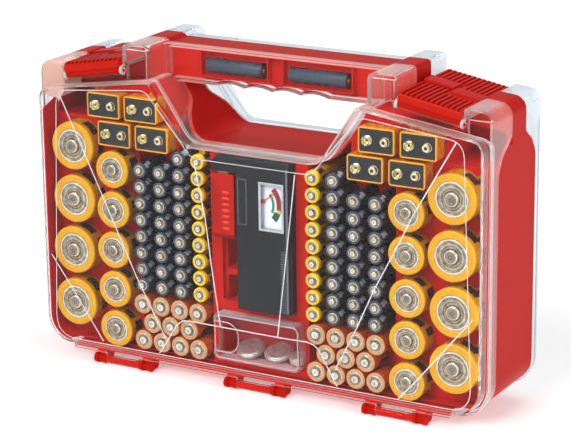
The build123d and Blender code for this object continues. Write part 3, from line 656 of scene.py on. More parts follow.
def bead(path: Sequence[Pair], closed: bool, half: float, foot: float, crest: float) -> Sketch:
    """A low bead of triangular section along a path.

    Args:
        path: its (across, up) points.
        closed: whether its end joins its start.
        half: half of its width.
        foot: the depth of its foot.
        crest: the depth of its crest.

    Returns:
        The bead.
    """
    rings, last = [], len(path) - 1
    for i, (x, z) in enumerate(path):
        before = path[i - 1] if i or closed else path[i]
        after = path[i + 1] if i < last else path[0 if closed else i]
        along = (Vector(after) - Vector(before)).normalized()
        aside = Vector((-along.y, along.x)) * half
        rings.append([(x + aside.x, foot, z + aside.y), (x, crest, z),
                      (x - aside.x, foot, z - aside.y)])
    return Sketch().rows(rings, looped=closed)


# ---------------------------------------------------------------- round cells
@dataclass(frozen=True)
class CellSize:
    """The standard size of a round cell, with the radius of its nub."""

    diameter: float
    length: float
    nub: float


D_SIZE = CellSize(34.2, 61.5, 4.75)
C_SIZE = CellSize(26.2, 50.0, 3.75)
AA_SIZE = CellSize(14.0, 50.5, 2.75)
AAA_SIZE = CellSize(10.5, 44.5, 1.9)


@dataclass
class RoundCells:
    """All standing cells of one size: a shrunk film jacket and a pressed cap with its nub.

    The four profiles are (share, depth) pairs. Shares are of the cell's radius in shoulder and
    rim, of the room between nub and rim in dish, and of the nub's radius in nub_shape. Depths
    are from the nub's foot, or in nub_shape from its top.
    """

    name: str
    size: CellSize
    places: list[Pair]
    finishes: tuple[Finish, ...]
    patches: tuple[Patch, ...]
    slot: Slot
    ring_depth: float
    segments: int = 36
    # The nub's top; a darker finish here is painted shade.
    nub_finish: Finish = NICKEL
    nub_plane: float = -40.75
    nub_height: float = 1.3
    spins: float = 12.0
    shoulder: Pairs = (
        (0.0, 0.9), (0.7, 0.7), (0.705, 0.2), (0.725, 0.02), (0.76, 0.0), (0.93, 0.0),
        (0.965, 0.12), (0.99, 0.4), (1.0, 0.9))
    rim: Pairs = (
        (0.0, 0.8), (0.72, 0.75), (0.705, 0.3), (0.693, 0.14), (0.675, 0.07), (0.62, 0.1),
        (0.602, 0.36), (0.585, 0.5))
    dish: Pairs = (
        (0.7, 0.5), (0.64, 0.36), (0.48, 0.34), (0.42, 0.5), (0.16, 0.46), (0.06, 0.3))
    nub_shape: Pairs = (
        (1.0, 0.4), (0.93, 0.1), (0.82, 0.0), (0.3, 0.0), (0.2, 0.1), (0.0, 0.12))
    # Finish of each band of the cap: 0 bright nickel, 1 painted shade in the dish, 2 deeper painted
    # shade with a warm painted reflection of the film, 3 the nub's top.
    cap_bands: tuple[int, ...] = (2, 2, 2, 0, 0, 2, 1, 1, 0, 1, 2, 1, 2, 0, 0, 0, 3, 2, 3)

    def jacket(self, spin: float) -> Sketch:
        """One film jacket, rolled over the front edge.

        Args:
            spin: degrees by which its print is turned.

        Returns:
            The jacket.
        """
        r, length = self.size.diameter / 2, self.size.length
        front = [(share * r, self.nub_height + depth) for share, depth in self.shoulder]
        marks = {self.ring_depth, length}.union(*(patch[2:4] for patch in self.patches))
        profile = front + [(r, depth) for depth in sorted(marks)] + [(0.0, length)]
        bands = [0] * len(front) + [1] * (len(profile) - len(front) - 1)
        return turned(profile, self.segments, self.patches, bands, spin)

    def cap(self) -> Sketch:
        """One pressed cap: a bright rim, a dish with two steps, and the nub with its dimple. The
        dish is painted darker as painted shade, and the gap outside the rim, rings in the dish, the
        groove round the nub and the dimple's wall deeper still.

        Returns:
            The cap.
        """
        r, n, top = self.size.diameter / 2, self.size.nub, self.nub_height
        room = self.rim[-1][0] * r - n
        profile = [(share * r, top + depth) for share, depth in self.rim]
        profile += [(n + share * room, top + depth) for share, depth in self.dish]
        profile += [(share * n, depth) for share, depth in self.nub_shape]
        return turned(profile, self.segments, bands=self.cap_bands)

    def build(self) -> None:
        """Makes all jackets as one piece and all caps as another."""
        jackets, caps, cap = Sketch(), Sketch(), self.cap()
        chance = random.Random(self.name)
        for x, z in self.places:
            at = Matrix.Translation((x, self.nub_plane, z))
            jackets.add(self.jacket(chance.uniform(-self.spins, self.spins)), at)
            caps.add(cap, at)
        jackets.publish(self.name + "_film", self.slot, self.finishes, self.name + "_jackets")
        caps.publish(self.name + "_pressed", Slot.NICKEL, [NICKEL, NICKEL_PAINTED_SHADE, NICKEL_PAINTED_DEEP_SHADE, self.nub_finish],
                     self.name + "_caps")


@dataclass
class LyingCells:
    """Cells that lie along X, seen from their side: a film jacket and the nub at its end."""

    name: str
    size: CellSize
    places: Sequence[Point]
    finishes: tuple[Finish, ...]
    patches: tuple[Patch, ...]
    slot: Slot
    nub_finish: Finish
    step: float = 1.2
    roll: float = 0.7

    def build(self) -> None:
        """Makes all jackets as one piece and all nubs as another."""
        r, n, step, length = self.size.diameter / 2, self.size.nub, self.step, self.size.length
        edge = step + self.roll
        marks = sorted({mark for patch in self.patches for mark in patch[2:4] if mark > edge})
        profile = [(0.0, step), (0.62 * r, step), (0.9 * r, step), (0.98 * r, step + 0.25),
                   *[(r, mark) for mark in (edge, *marks, length - 0.6)], (0.95 * r, length),
                   (0.0, length)]
        film = turned(profile, 32, self.patches)
        tip = turned([(0.0, step + 0.1), (1.7 * n, step - 0.02), (1.15 * n, step - 0.1),
                      (n, step - 0.3), (n, 0.25), (0.85 * n, 0.0), (0.0, 0.0)], 24)
        jackets, nubs = Sketch(), Sketch()
        for x, y, z in self.places:
            at = Matrix.Translation((x + length / 2, y, z)) @ QUARTER_TURN
            jackets.add(film, at)
            nubs.add(tip, at)
        jackets.publish(self.name + "_film", self.slot, self.finishes, self.name + "_jackets")
        nubs.publish(self.name + "_tips", Slot.NICKEL, [self.nub_finish], self.name + "_nubs")


# ---------------------------------------------------------------- square and coin cells
@dataclass
class NineVoltCells:
    """The square cells: a folded film case, a dark top plate and two snaps.

    The case's rim is (inset, depth) pairs. It is bright and the sides are darker, two of them
    printed black behind print_from.
    """

    places: list[Pair]
    box: Box = (-13.25, 13.25, -8.75, 8.75)
    corner: float = 1.9
    rim: Pairs = (
        (1.15, 0.75), (1.1, 0.15), (0.95, 0.0), (0.45, 0.0), (0.12, 0.14), (0.0, 0.5), (0.0, 1.3))
    print_from: float = 13.0
    side_band: float = 0.4
    length: float = 46.0
    plate_inset: float = 1.12
    plate_depths: Pair = (0.85, 0.3)
    front: float = -36.75
    snap_front: float = -36.45
    snap_height: float = 2.5
    snap_offset: float = 6.35
    crown_radius: float = 3.3
    stud_radius: float = 2.85
    petals: int = 6
    petal_steps: int = 6
    petal_share: float = 0.86

    def case(self) -> Sketch:
        """The case with a narrow rim that is folded in round the top plate.

        Returns:
            The case.
        """
        shape = (*self.rim, (0.0, self.print_from), (0.0, self.length))
        form = Sketch().rows([outline(self.box, self.corner, inset, depth)
                              for inset, depth in shape], [0, 0, 0, 0, 0, 0, 1, 1])
        for number, face in enumerate(form.faces):
            x, y, z = (sum(form.points[i][axis] for i in face) / len(face) for axis in range(3))
            on_side = x > self.box[1] - self.side_band or z > self.box[3] - self.side_band
            if y > self.print_from and on_side:
                form.finishes[number] = 2
        return form

    def crown(self) -> Sketch:
        """The larger snap: spring petals round an open socket, whose floor is painted dark as
        painted shade.

        Returns:
            The snap.
        """
        form, h, r = Sketch(), self.snap_height, self.crown_radius
        section = ((r - 0.5, 0.0), (r - 0.55, -0.9), (r - 0.1, -h + 0.6), (r, -h + 0.2),
                   (r - 0.3, -h), (r - 0.9, -h + 0.25), (r - 1.15, -h + 1.0), (r - 1.1, 0.0))
        for petal in range(self.petals):
            rings = []
            for step in range(self.petal_steps + 1):
                ring = []
                for radius, depth in section:
                    share = self.petal_share if depth < -0.5 else 1.0
                    turn = petal + 0.5 + share * (step / self.petal_steps - 0.5)
                    angle = math.tau / self.petals * turn
                    ring.append((radius * math.cos(angle), depth, radius * math.sin(angle)))
                rings.append(ring)
            form.rows(rings)
        socket = turned([(0.0, -0.5), (0.9, -0.5), (1.2, -0.3), (r, 0.0), (0.0, SUNK)], 24,
                        bands=[1, 0, 0, 0])
        return form.add(socket)

    def stud(self) -> Sketch:
        """The smaller snap: a waisted stud with a dimple in its head; the dimple and the waist are
        painted dark as painted shade.

        Returns:
            The snap.
        """
        r, h = self.stud_radius, self.snap_height
        return turned([(0.0, -h + 0.45), (0.9, -h + 0.4), (1.2, -h + 0.05), (r - 0.6, -h),
                       (r - 0.12, -h + 0.3), (r, -h + 0.7), (r - 0.1, -h + 1.1),
                       (r - 0.45, -h + 1.5), (r - 0.45, -0.4), (r + 0.1, -0.1), (r + 0.4, 0.0),
                       (0.0, SUNK)], 32, bands=[1, 1, 0, 0, 0, 0, 1, 1, 1, 0, 0])

    def build(self) -> None:
        """Makes the cases, the plates and the snaps as one piece each."""
        cases, plates, snaps = Sketch(), Sketch(), Sketch()
        case, crown, stud = self.case(), self.crown(), self.stud()
        plate = Sketch().rows([outline(self.box, self.corner, self.plate_inset, depth)
                               for depth in self.plate_depths])
        for x, z in self.places:
            at = Matrix.Translation((x, self.front, z))
            cases.add(case, at)
            plates.add(plate, at)
            for snap, offset in ((crown, -self.snap_offset), (stud, self.snap_offset)):
                snaps.add(snap, Matrix.Translation((x + offset, self.snap_front, z)))
        cases.publish("nine_volt_cases", Slot.AMBER_JACKET, [NINE_RIM, NINE_SIDE, BLACK_PRINT],
                      "nine_volt_jackets")
        plates.publish("nine_volt_tops", Slot.TOP_PLATE, [TOP_PLATE], "nine_volt_plates")
        snaps.publish("nine_volt_contacts", Slot.NICKEL, [SNAP, NICKEL_PAINTED_DEEP_SHADE], "nine_volt_snaps")


@dataclass
class CoinCells:
    """Coin cells lying loose in the bin, each tipped on its edge.

    A coin is (across, depth, diameter, thickness). Its lid and can are (share of the radius,
    depth) pairs, with depths from the lid's face and from the can's.
    """

    coins: tuple[tuple[float, float, float, float], ...] = (
        (-11.0, -27.5, 20.0, 3.2), (10.0, -25.5, 20.0, 3.2), (26.8, -29.0, 11.6, 5.4))
    floor: float = 20.5
    lean: float = 20.0
    lid: Pairs = (
        (0.0, 0.3), (0.3, 0.3), (0.34, 0.08), (0.7, 0.08), (0.74, 0.35), (0.8, 0.35),
        (0.84, 0.0), (0.93, 0.0), (1.0, 0.35))
    can: Pairs = (
        (1.0, -0.75), (0.97, -0.45), (0.9, -0.4), (0.885, -0.55), (0.87, -0.4), (0.84, -0.05),
        (0.8, 0.0), (0.0, 0.0))
    # Band 1 marks the steps, ridge and groove that are painted darker as painted shade.
    bands: tuple[int, ...] = (0, 1, 0, 1, 1, 1, 0, 0, 0, 0, 0, 1, 1, 0, 0, 0)

    def build(self) -> None:
        """Makes the coins as one piece."""
        pile, lean = Sketch(), math.radians(self.lean)
        for x, y, diameter, thick in self.coins:
            r, t = diameter / 2, thick / 2
            coin = turned([(share * r, depth - t) for share, depth in self.lid]
                          + [(share * r, depth + t) for share, depth in self.can], 48,
                          bands=self.bands)
            lift = self.floor + r * math.sin(lean) + t
            pile.add(coin, Matrix.Translation((x, y, lift))
                     @ Matrix.Rotation(lean + math.pi / 2, 4, "X"))
        pile.publish("coin_cell_cans", Slot.NICKEL, [COIN_STEEL, NICKEL_PAINTED_SHADE], "coin_cells")


# ---------------------------------------------------------------- the lids' embossed lines
@dataclass
class LidLines:
    """Raised lines on the inside of a lid's panel that split it into facets, drawn white as painted
    highlights along the facets' edges, the inner border and the flange.

    Corners are (across, up, radius). A rim is (how far inside the flange's corners, depth).
    """

    inside: float = -43.24
    rise: float = 0.3
    half: float = 0.25
    line_half: float = 0.4
    rims: Pairs = ((2.2, -33.6), (2.3, -30.6), (0.9, -33.9))
    flange: tuple[Point, ...] = (
        (51.2, 168.5, 15.0), (79.0, 209.6, 5.0), (172.0, 196.6, 9.0), (172.0, 8.5, 22.0))
    border: tuple[Point, ...] = (
        (-46.0, 160.0, 12.0), (-82.0, 203.0, 10.0), (-155.0, 195.5, 12.0), (-163.0, 15.0, 16.0),
        (163.0, 15.0, 16.0), (156.0, 195.0, 12.0), (82.0, 203.0, 10.0), (46.0, 160.0, 12.0))
    lines: tuple[Pairs, ...] = (
        ((-153.2, 194.5), (-136.2, 159.4), (-111.6, 108.2), (-93.8, 70.6), (-70.3, 27.4)),
        ((-164.5, 75.5), (-147.2, 52.0), (-122.8, 17.0)),
        ((-44.0, 157.5), (-35.9, 118.7), (-31.2, 81.4), (-25.8, 43.5)),
        ((33.8, 158.5), (30.1, 127.8), (19.3, 43.5)),
        ((-76.0, 16.0), (-70.3, 24.0), (-61.1, 39.0), (-56.0, 43.0), (-50.0, 43.6), (22.0, 43.3),
         (42.0, 43.8), (47.0, 42.6), (51.0, 39.5), (64.6, 16.0)),
        ((151.0, 195.0), (119.4, 140.6), (111.4, 124.0), (92.5, 88.4), (78.7, 57.9),
         (63.2, 27.9)),
        ((163.5, 79.0), (122.5, 29.2), (110.0, 15.5)),
    )

    def loop(self, corners: Sequence[Point], depth: float) -> Sketch:
        """A closed line with rounded corners.

        Args:
            corners: its corners in order.
            depth: the depth of its foot.

        Returns:
            The line.
        """
        path: list[Pair] = []
        for i, (x, z, radius) in enumerate(corners):
            here = Vector((x, z))
            before = (Vector(corners[i - 1][:2]) - here).normalized()
            after = (Vector(corners[(i + 1) % len(corners)][:2]) - here).normalized()
            reach = radius / math.tan(before.angle(after) / 2)
            start, end = here + before * reach, here + after * reach
            for step in range(7):
                t = step / 6
                path.append(tuple(start.lerp(here, t).lerp(here.lerp(end, t), t)))
        return bead(path, True, self.half, depth, depth + self.rise)

    def rim(self, inset: float, depth: float) -> Sketch:
        """A line that runs round the inside of the flange.

        Args:
            inset: how far it lies inside the flange's corners.
            depth: the depth of its foot.

        Returns:
            The line.
        """
        corners = [*self.flange, *((-x, z, radius) for x, z, radius in reversed(self.flange))]
        moved = []
        for i, (x, z, radius) in enumerate(corners):
            before, here, after = (Vector(corners[k % len(corners)][:2]) for k in (i - 1, i, i + 1))
            first, second = (here - before).normalized(), (after - here).normalized()
            inward = [Vector((d.y, -d.x)) * inset for d in (first, second)]
            turn = first.cross(second)
            along = (inward[1] - inward[0]).cross(second) / turn
            place = here + inward[0] + first * along
            moved.append((place.x, place.y, radius + math.copysign(inset, turn)))
        return self.loop(moved, depth)

    def build(self) -> None:
        """Makes each lid's facet lines, inner border and rims as one piece."""
        form = Sketch()
        for line in self.lines:
            form.add(bead(line, False, self.line_half, self.inside, self.inside + self.rise))
        form.add(self.loop(self.border, self.inside))
        for inset, depth in self.rims:
            form.add(self.rim(inset, depth))
        for body, turn in LID_TURNS.items():
            Sketch().add(form, turn).publish(body.value + "_lines", Slot.CLEAR, [LINE_HIGHLIGHT], body=body,
                                             sharp=20.0)


# ---------------------------------------------------------------- latches and posts
def latch_frame(side: int, centre: Point = (128.1, -35.2, 209.0), tilt: float = 10.0) -> Matrix:
    """The frame of a front latch's pivot, which drops towards its outer end.

    Args:
        side: 1 for the right latch and -1 for the left one.
        centre: the right pivot's middle.
        tilt: its drop in degrees.

    Returns:
        Where a form drawn round the pivot goes.
    """
    x, y, z = centre
    return Matrix.Translation((side * x, y, z)) @ Matrix.Rotation(math.radians(side * tilt), 4, "Y")


@dataclass
class PivotBosses:
    """The raised rings on the posts that the latches' pivots end in, drawn white as a painted
    highlight.
    """

    half: float = 23.5
    ring: Pairs = (
        (1.5, 0.0), (1.5, -0.7), (1.8, -0.85), (2.9, -0.85), (3.3, -0.5), (3.3, 0.9), (1.5, 0.9))

    def build(self) -> None:
        """Makes each lid's four rings as one piece."""
        ring, form = turned(self.ring, 28, looped=True), Sketch()
        for side in (1, -1):
            for end in (1, -1):
                form.add(ring, latch_frame(side) @ Matrix.Translation((end * self.half, 0.0, 0.0))
                         @ Matrix.Rotation(-end * math.pi / 2, 4, "Z"))
        for body, turn in LID_TURNS.items():
            Sketch().add(form, turn).publish(body.value + "_bosses", Slot.CLEAR, [LINE_HIGHLIGHT], body=body)


@dataclass
class LatchRolls:
    """The smooth roll along each latch's lower front, in which its ribs end, a little lighter than
    the latch as a painted highlight.

    Its section runs up from the foot, round an arc and back down inside the latch.
    """

    half: float = 22.75
    bevel: float = 0.3
    end_size: float = 0.8
    foot: Pairs = ((-1.85, 1.7), (-2.5, 2.0), (-3.0, 2.6), (-3.12, 3.5), (-3.12, 4.9))
    arc_centre: Pair = (1.0, 4.9)
    arc_radius: float = 4.12
    arc_angles: tuple[int, ...] = (172, 164, 156, 148, 140)
    inside: Pairs = ((-1.3, 6.9), (-1.85, 5.0))
    middle: Pair = (-1.85, 4.4)

    def roll(self) -> Sketch:
        """One roll along its pivot, with its ends a little rounded.

        Returns:
            The roll.
        """
        (y, z), reach, middle = self.arc_centre, self.arc_radius, Vector(self.middle)
        arc = [(y + reach * math.cos(math.radians(a)), z + reach * math.sin(math.radians(a)))
               for a in self.arc_angles]
        near = self.half - self.bevel
        return Sketch().rows([
            [(x, *(middle + (Vector(point) - middle) * size))
             for point in (*self.foot, *arc, *self.inside)]
            for x, size in ((-self.half, self.end_size), (-near, 1.0), (near, 1.0),
                            (self.half, self.end_size))])

    def build(self) -> None:
        """Makes each latch's roll as a piece of its own."""
        roll, right, left = self.roll(), latch_frame(1), latch_frame(-1)
        for body, place in ((Body.FRONT_LATCH_RIGHT, right), (Body.FRONT_LATCH_LEFT, left),
                            (Body.BACK_LATCH_LEFT, HALF_TURN @ right),
                            (Body.BACK_LATCH_RIGHT, HALF_TURN @ left)):
            Sketch().add(roll, place).publish(body.value + "_roll", Slot.RED_LATCH, [RED_ROLL],
                                              body=body)


@dataclass
class PostCore:
    """The milky mass of the hollow outer post at the left, where the thick walls meet."""

    box: Box = (-171.5, -153.0, 188.0, 213.6)
    radius: float = 7.5
    depths: Pairs = ((0.9, -36.15), (0.25, -35.95), (0.0, -35.35), (0.0, -14.0))

    def build(self) -> None:
        """Makes the core as one piece."""
        rings = [outline(self.box, self.radius, inset, depth) for inset, depth in self.depths]
        Sketch().rows(rings).publish("front_lid_post_core", Slot.CLEAR, [CORE_WARM],
                                     body=Body.FRONT_LID)


# ---------------------------------------------------------------- red details
@dataclass
class TrayRim:
    """The red rim that stands round the cells inside the lid, on both sides and below.

    Its left side stands higher, up to the panel, where the photograph shows red. Both upper
    ends slope back.
    """

    half: float = 167.3
    top: float = 177.0
    left_top: float = 187.0
    bottom: float = 13.4
    radius: float = 17.5
    front: float = -33.6
    left_front: float = -42.9
    end_front: float = -26.6
    back: float = -25.1
    thick: float = 0.9
    slope: float = 6.0

    def path(self, inset: float) -> list[Pair]:
        """The rim's course from its left end down, along the bottom and up to its right end.

        Args:
            inset: how far inside its outer face.

        Returns:
            Its points.
        """
        side, low, radius = self.half - inset, self.bottom + inset, self.radius - inset
        points = [(-side, self.left_top), (-side, self.left_top - self.slope)]
        for centre, start in ((-side + radius, 180.0), (side - radius, 270.0)):
            for step in range(10):
                angle = math.radians(start + 10.0 * step)
                points.append((centre + radius * math.cos(angle),
                               low + radius + radius * math.sin(angle)))
        return points + [(side, self.top - self.slope), (side, self.top)]

    def build(self) -> None:
        """Makes the rim as one piece."""
        rings = []
        for (x, z), (x2, z2) in zip(self.path(0.0), self.path(self.thick)):
            front = self.left_front if x < self.radius - self.half else self.front
            if z in (self.top, self.left_top):
                front = self.end_front
            rings.append([(x, self.back, z), (x, front, z), (x2, front, z2), (x2, self.back, z2)])
        Sketch().rows(rings).publish("tray_rim", Slot.RED_TRAY, [RED_TRAY])


@dataclass
class HingeSleeves:
    """The rods as they look through the clear knuckles, which magnify them to their own width."""

    places: tuple[Point, ...] = tuple(
        (x, y, 3.6) for y in (-41.75, 41.75) for x in (-107.0, 0.0, 107.0))
    profile: Pairs = (
        (1.3, -13.9), (2.7, -13.9), (2.7, -11.0), (2.2, -10.2), (2.2, 10.2), (2.7, 11.0),
        (2.7, 13.9), (1.3, 13.9))

    def build(self) -> None:
        """Makes the sleeves of both lids as one piece."""
        sleeve, form = turned(self.profile, 20, looped=True), Sketch()
        for place in self.places:
            form.add(sleeve, Matrix.Translation(place) @ QUARTER_TURN)
        form.publish("hinge_sleeves", Slot.RED, [RED_BODY])


@dataclass
class HandleRibs:
    """Low ribs on the handle's face: four upright ones that part the spare cells, two level."""

    places: tuple[float, ...] = (-57.5, -5.2, 6.6, 59.0)
    z: Pair = (208.6, 226.6)
    halves: Pair = (0.6, 0.8)
    taper: float = 0.25
    face: float = -5.25
    foot: float = -5.15
    crest: float = -9.75
    level: Pairs = ((-0.6, 0.1), (-0.4, -4.5), (0.4, -4.5), (0.6, 0.1))

    def build(self) -> None:
        """Makes all ribs as one piece."""
        form = Sketch()
        for x in self.places:
            form.rows([[(x - half, self.foot, z), (x - half + self.taper, self.crest, z),
                        (x + half - self.taper, self.crest, z), (x + half, self.foot, z)]
                       for z, half in zip(self.z, self.halves)])
        for z in self.z:
            form.bar((self.places[0] - self.halves[0], self.places[-1] + self.halves[0]), z,
                     self.face, self.level)
        form.publish("handle_ribs", Slot.RED, [RED_BODY])


@dataclass
class SliderRidges:
    """Thumb ridges between the slider's grooves, painted lighter as a painted highlight, each over
    a bar and below a facet that are painted darker as painted shade.
    """

    face: float = -42.0
    x: Pair = (-22.7, -17.9)
    first: float = 114.0
    pitch: float = 4.2
    count: int = 7
    ridge: Pairs = ((-1.0, SUNK), (-0.2, -0.45), (0.3, -0.5), (1.0, SUNK))
    # The bar under each ridge, painted darker as painted shade.
    shade: Pairs = ((-2.2, SUNK), (-2.0, -0.12), (-1.2, -0.12), (-1.0, SUNK))
    facet: Pairs = ((-31.4, 148.8), (-25.6, 142.5), (-25.0, 122.0), (-31.4, 112.0))

    def build(self) -> None:
        """Makes the ridges as one piece."""
        form = Sketch()
        for i in range(self.count):
            z = self.first + i * self.pitch
            form.bar(self.x, z, self.face, self.ridge).bar(self.x, z, self.face, self.shade, 1)
        form.rows([[(x, self.face + lift, z) for x, z in self.facet] for lift in (SUNK, -0.12)], 1)
        form.publish("slider_ridges", Slot.RED_ARM, [RED_PAINTED_HIGHLIGHT, RED_PAINTED_SHADE], body=Body.SLIDER)


# ---------------------------------------------------------------- bin and tester
@dataclass
class BinEdges:
    """The rims of the bin's cover, round its front and round the finger notch, drawn pale as a
    painted highlight.
    """

    box: Box = (-33.3, 34.8, 18.7, 52.3)
    corner: float = 5.6
    inset: float = 1.6
    half: float = 0.45
    depths: Pair = (-40.73, -41.0)
    notch_end: float = -30.8
    notch_centre: Pair = (-22.5, 35.5)
    notch_straight: float = 1.5
    notch_radius: float = 9.4

    def build(self) -> None:
        """Makes both rims as one piece."""
        rim = [(x, z) for x, _, z in outline(self.box, self.corner, self.inset, 0.0, 6)]
        (x, z), radius = self.notch_centre, self.notch_radius
        reach = self.notch_straight + radius
        notch = [(self.notch_end, z + reach)]
        for step in range(13):
            angle = math.radians(90 - 15 * step)
            straight = math.copysign(self.notch_straight, math.sin(angle)) if step != 6 else 0.0
            notch.append((x + radius * math.cos(angle), z + straight + radius * math.sin(angle)))
        notch.append((self.notch_end, z - reach))
        form = Sketch()
        for path, closed in ((rim, True), (notch, False)):
            form.add(bead(path, closed, self.half, *self.depths))
        form.publish("bin_cover_rims", Slot.CLEAR, [RIM_HIGHLIGHT_WARM])


@dataclass
class Tester:
    """The small details of the tester: grip ribs, side dots, the groove's frame and the dial. The
    ribs, dots, the strip on the right edge and the frame are painted paler as a painted highlight.

    The frame's section is (inset, lift) pairs. An arc of the dial, and the first of its ticks,
    is (inner radius, outer radius, first degree, last degree, finish number).
    """

    front: float = -42.0
    right: float = 28.0
    rib_x: Pair = (21.6, 25.4)
    rib_z: Pair = (61.0, 106.0)
    rib_pitch: float = 1.7
    rib_stagger: float = 0.9
    rib_half: float = 0.357
    rib_rise: float = 0.55
    dot: Pairs = ((0.0, -0.25), (0.3, -0.2), (0.5, SUNK), (0.0, 0.06))
    dot_depth: float = -38.2
    edge: Pairs = ((25.9, SUNK), (26.1, -0.2), (27.2, -0.2), (27.5, SUNK))
    edge_z: Pair = (60.5, 161.0)
    groove: Box = (-11.0, -4.0, 118.5, 150.5)
    groove_corner: float = 1.4
    groove_section: Pairs = ((0.0, SUNK), (0.15, -0.22), (0.45, -0.22), (0.6, SUNK))
    dial_centre: Pair = (3.5, 134.0)
    card_front: float = -38.6
    ink: float = 0.06
    arcs: tuple[tuple[float, float, float, float, int], ...] = (
        (13.9, 17.3, 45.0, -11.0, 0), (13.9, 17.3, -11.6, -18.0, 1), (12.9, 17.6, -18.6, -41.0, 3),
        (10.4, 12.4, 41.0, 29.0, 0), (10.4, 12.4, 27.5, -27.0, 2), (17.35, 17.7, 45.0, -18.0, 4))
    tick: tuple[float, float, float, float, int] = (12.8, 13.4, 42.0, 40.8, 4)
    tick_pitch: float = 7.8
    ticks: int = 11
    arc_step: float = 4.0

    def ribs(self) -> None:
        """The fine ribs near the right edge of the front, the dots on the side and a strip on the
        right edge, all painted paler as a painted highlight.
        """
        form, half, rise = Sketch(), self.rib_half, -self.rib_rise
        dot = turned(self.dot, 10)
        for i in range(int((self.rib_z[1] - self.rib_z[0]) / self.rib_pitch)):
            z = self.rib_z[0] + i * self.rib_pitch
            form.bar((self.rib_x[0] + self.rib_stagger * (i % 2), self.rib_x[1]), z, self.front,
                     ((-half, SUNK), (-half / 2, rise), (half / 2, rise), (half, SUNK)))
            form.add(dot, Matrix.Translation((self.right, self.dot_depth, z)) @ QUARTER_TURN)
        # The strip along the right edge's bevel is a painted highlight.
        form.rows([[(x, self.front + lift, z) for x, lift in self.edge] for z in self.edge_z])
        form.publish("tester_grip_ribs", Slot.DARK_ABS, [RIB_HIGHLIGHT])

    def groove_frame(self) -> None:
        """A thin raised frame round the flat place for small cells beside the arm, in the ribs'
        pale finish as a painted highlight.
        """
        rings = [outline(self.groove, self.groove_corner, inset, self.front + lift)
                 for inset, lift in self.groove_section]
        Sketch().rows(rings, looped=True).publish("tester_groove_frame", Slot.DARK_ABS, [RIB_HIGHLIGHT])

    def dial(self) -> None:
        """The printed arcs and ticks of the dial."""
        form, (x, z) = Sketch(), self.dial_centre
        low, high = self.card_front, self.card_front - self.ink
        inner, outer, start, end, finish = self.tick
        turns = [self.tick_pitch * i for i in range(self.ticks)]
        ticks = [(inner, outer, start - turn, end - turn, finish) for turn in turns]
        for inner, outer, start, end, finish in (*self.arcs, *ticks):
            steps = max(2, round(abs(end - start) / self.arc_step))
            angles = [math.radians(start + (end - start) * s / steps) for s in range(steps + 1)]
            corners = ((outer, low), (inner, low), (inner, high), (outer, high))
            form.rows([[(x + radius * math.cos(a), y, z + radius * math.sin(a))
                        for radius, y in corners] for a in angles], finish)
        form.publish("dial_print", Slot.CARD,
                     [INK_RED, INK_YELLOW, INK_GREEN, INK_DARK_GREEN, INK_BLACK])

    def build(self) -> None:
        """Makes every detail of the tester."""
        self.ribs()
        self.groove_frame()
        self.dial()


# ---------------------------------------------------------------- the whole case
def both_sides(places: Sequence[Pair]) -> list[Pair]:
    """Each place on the right half, and its mirror image."""
    return [(side * x, z) for x, z in places for side in (1, -1)]


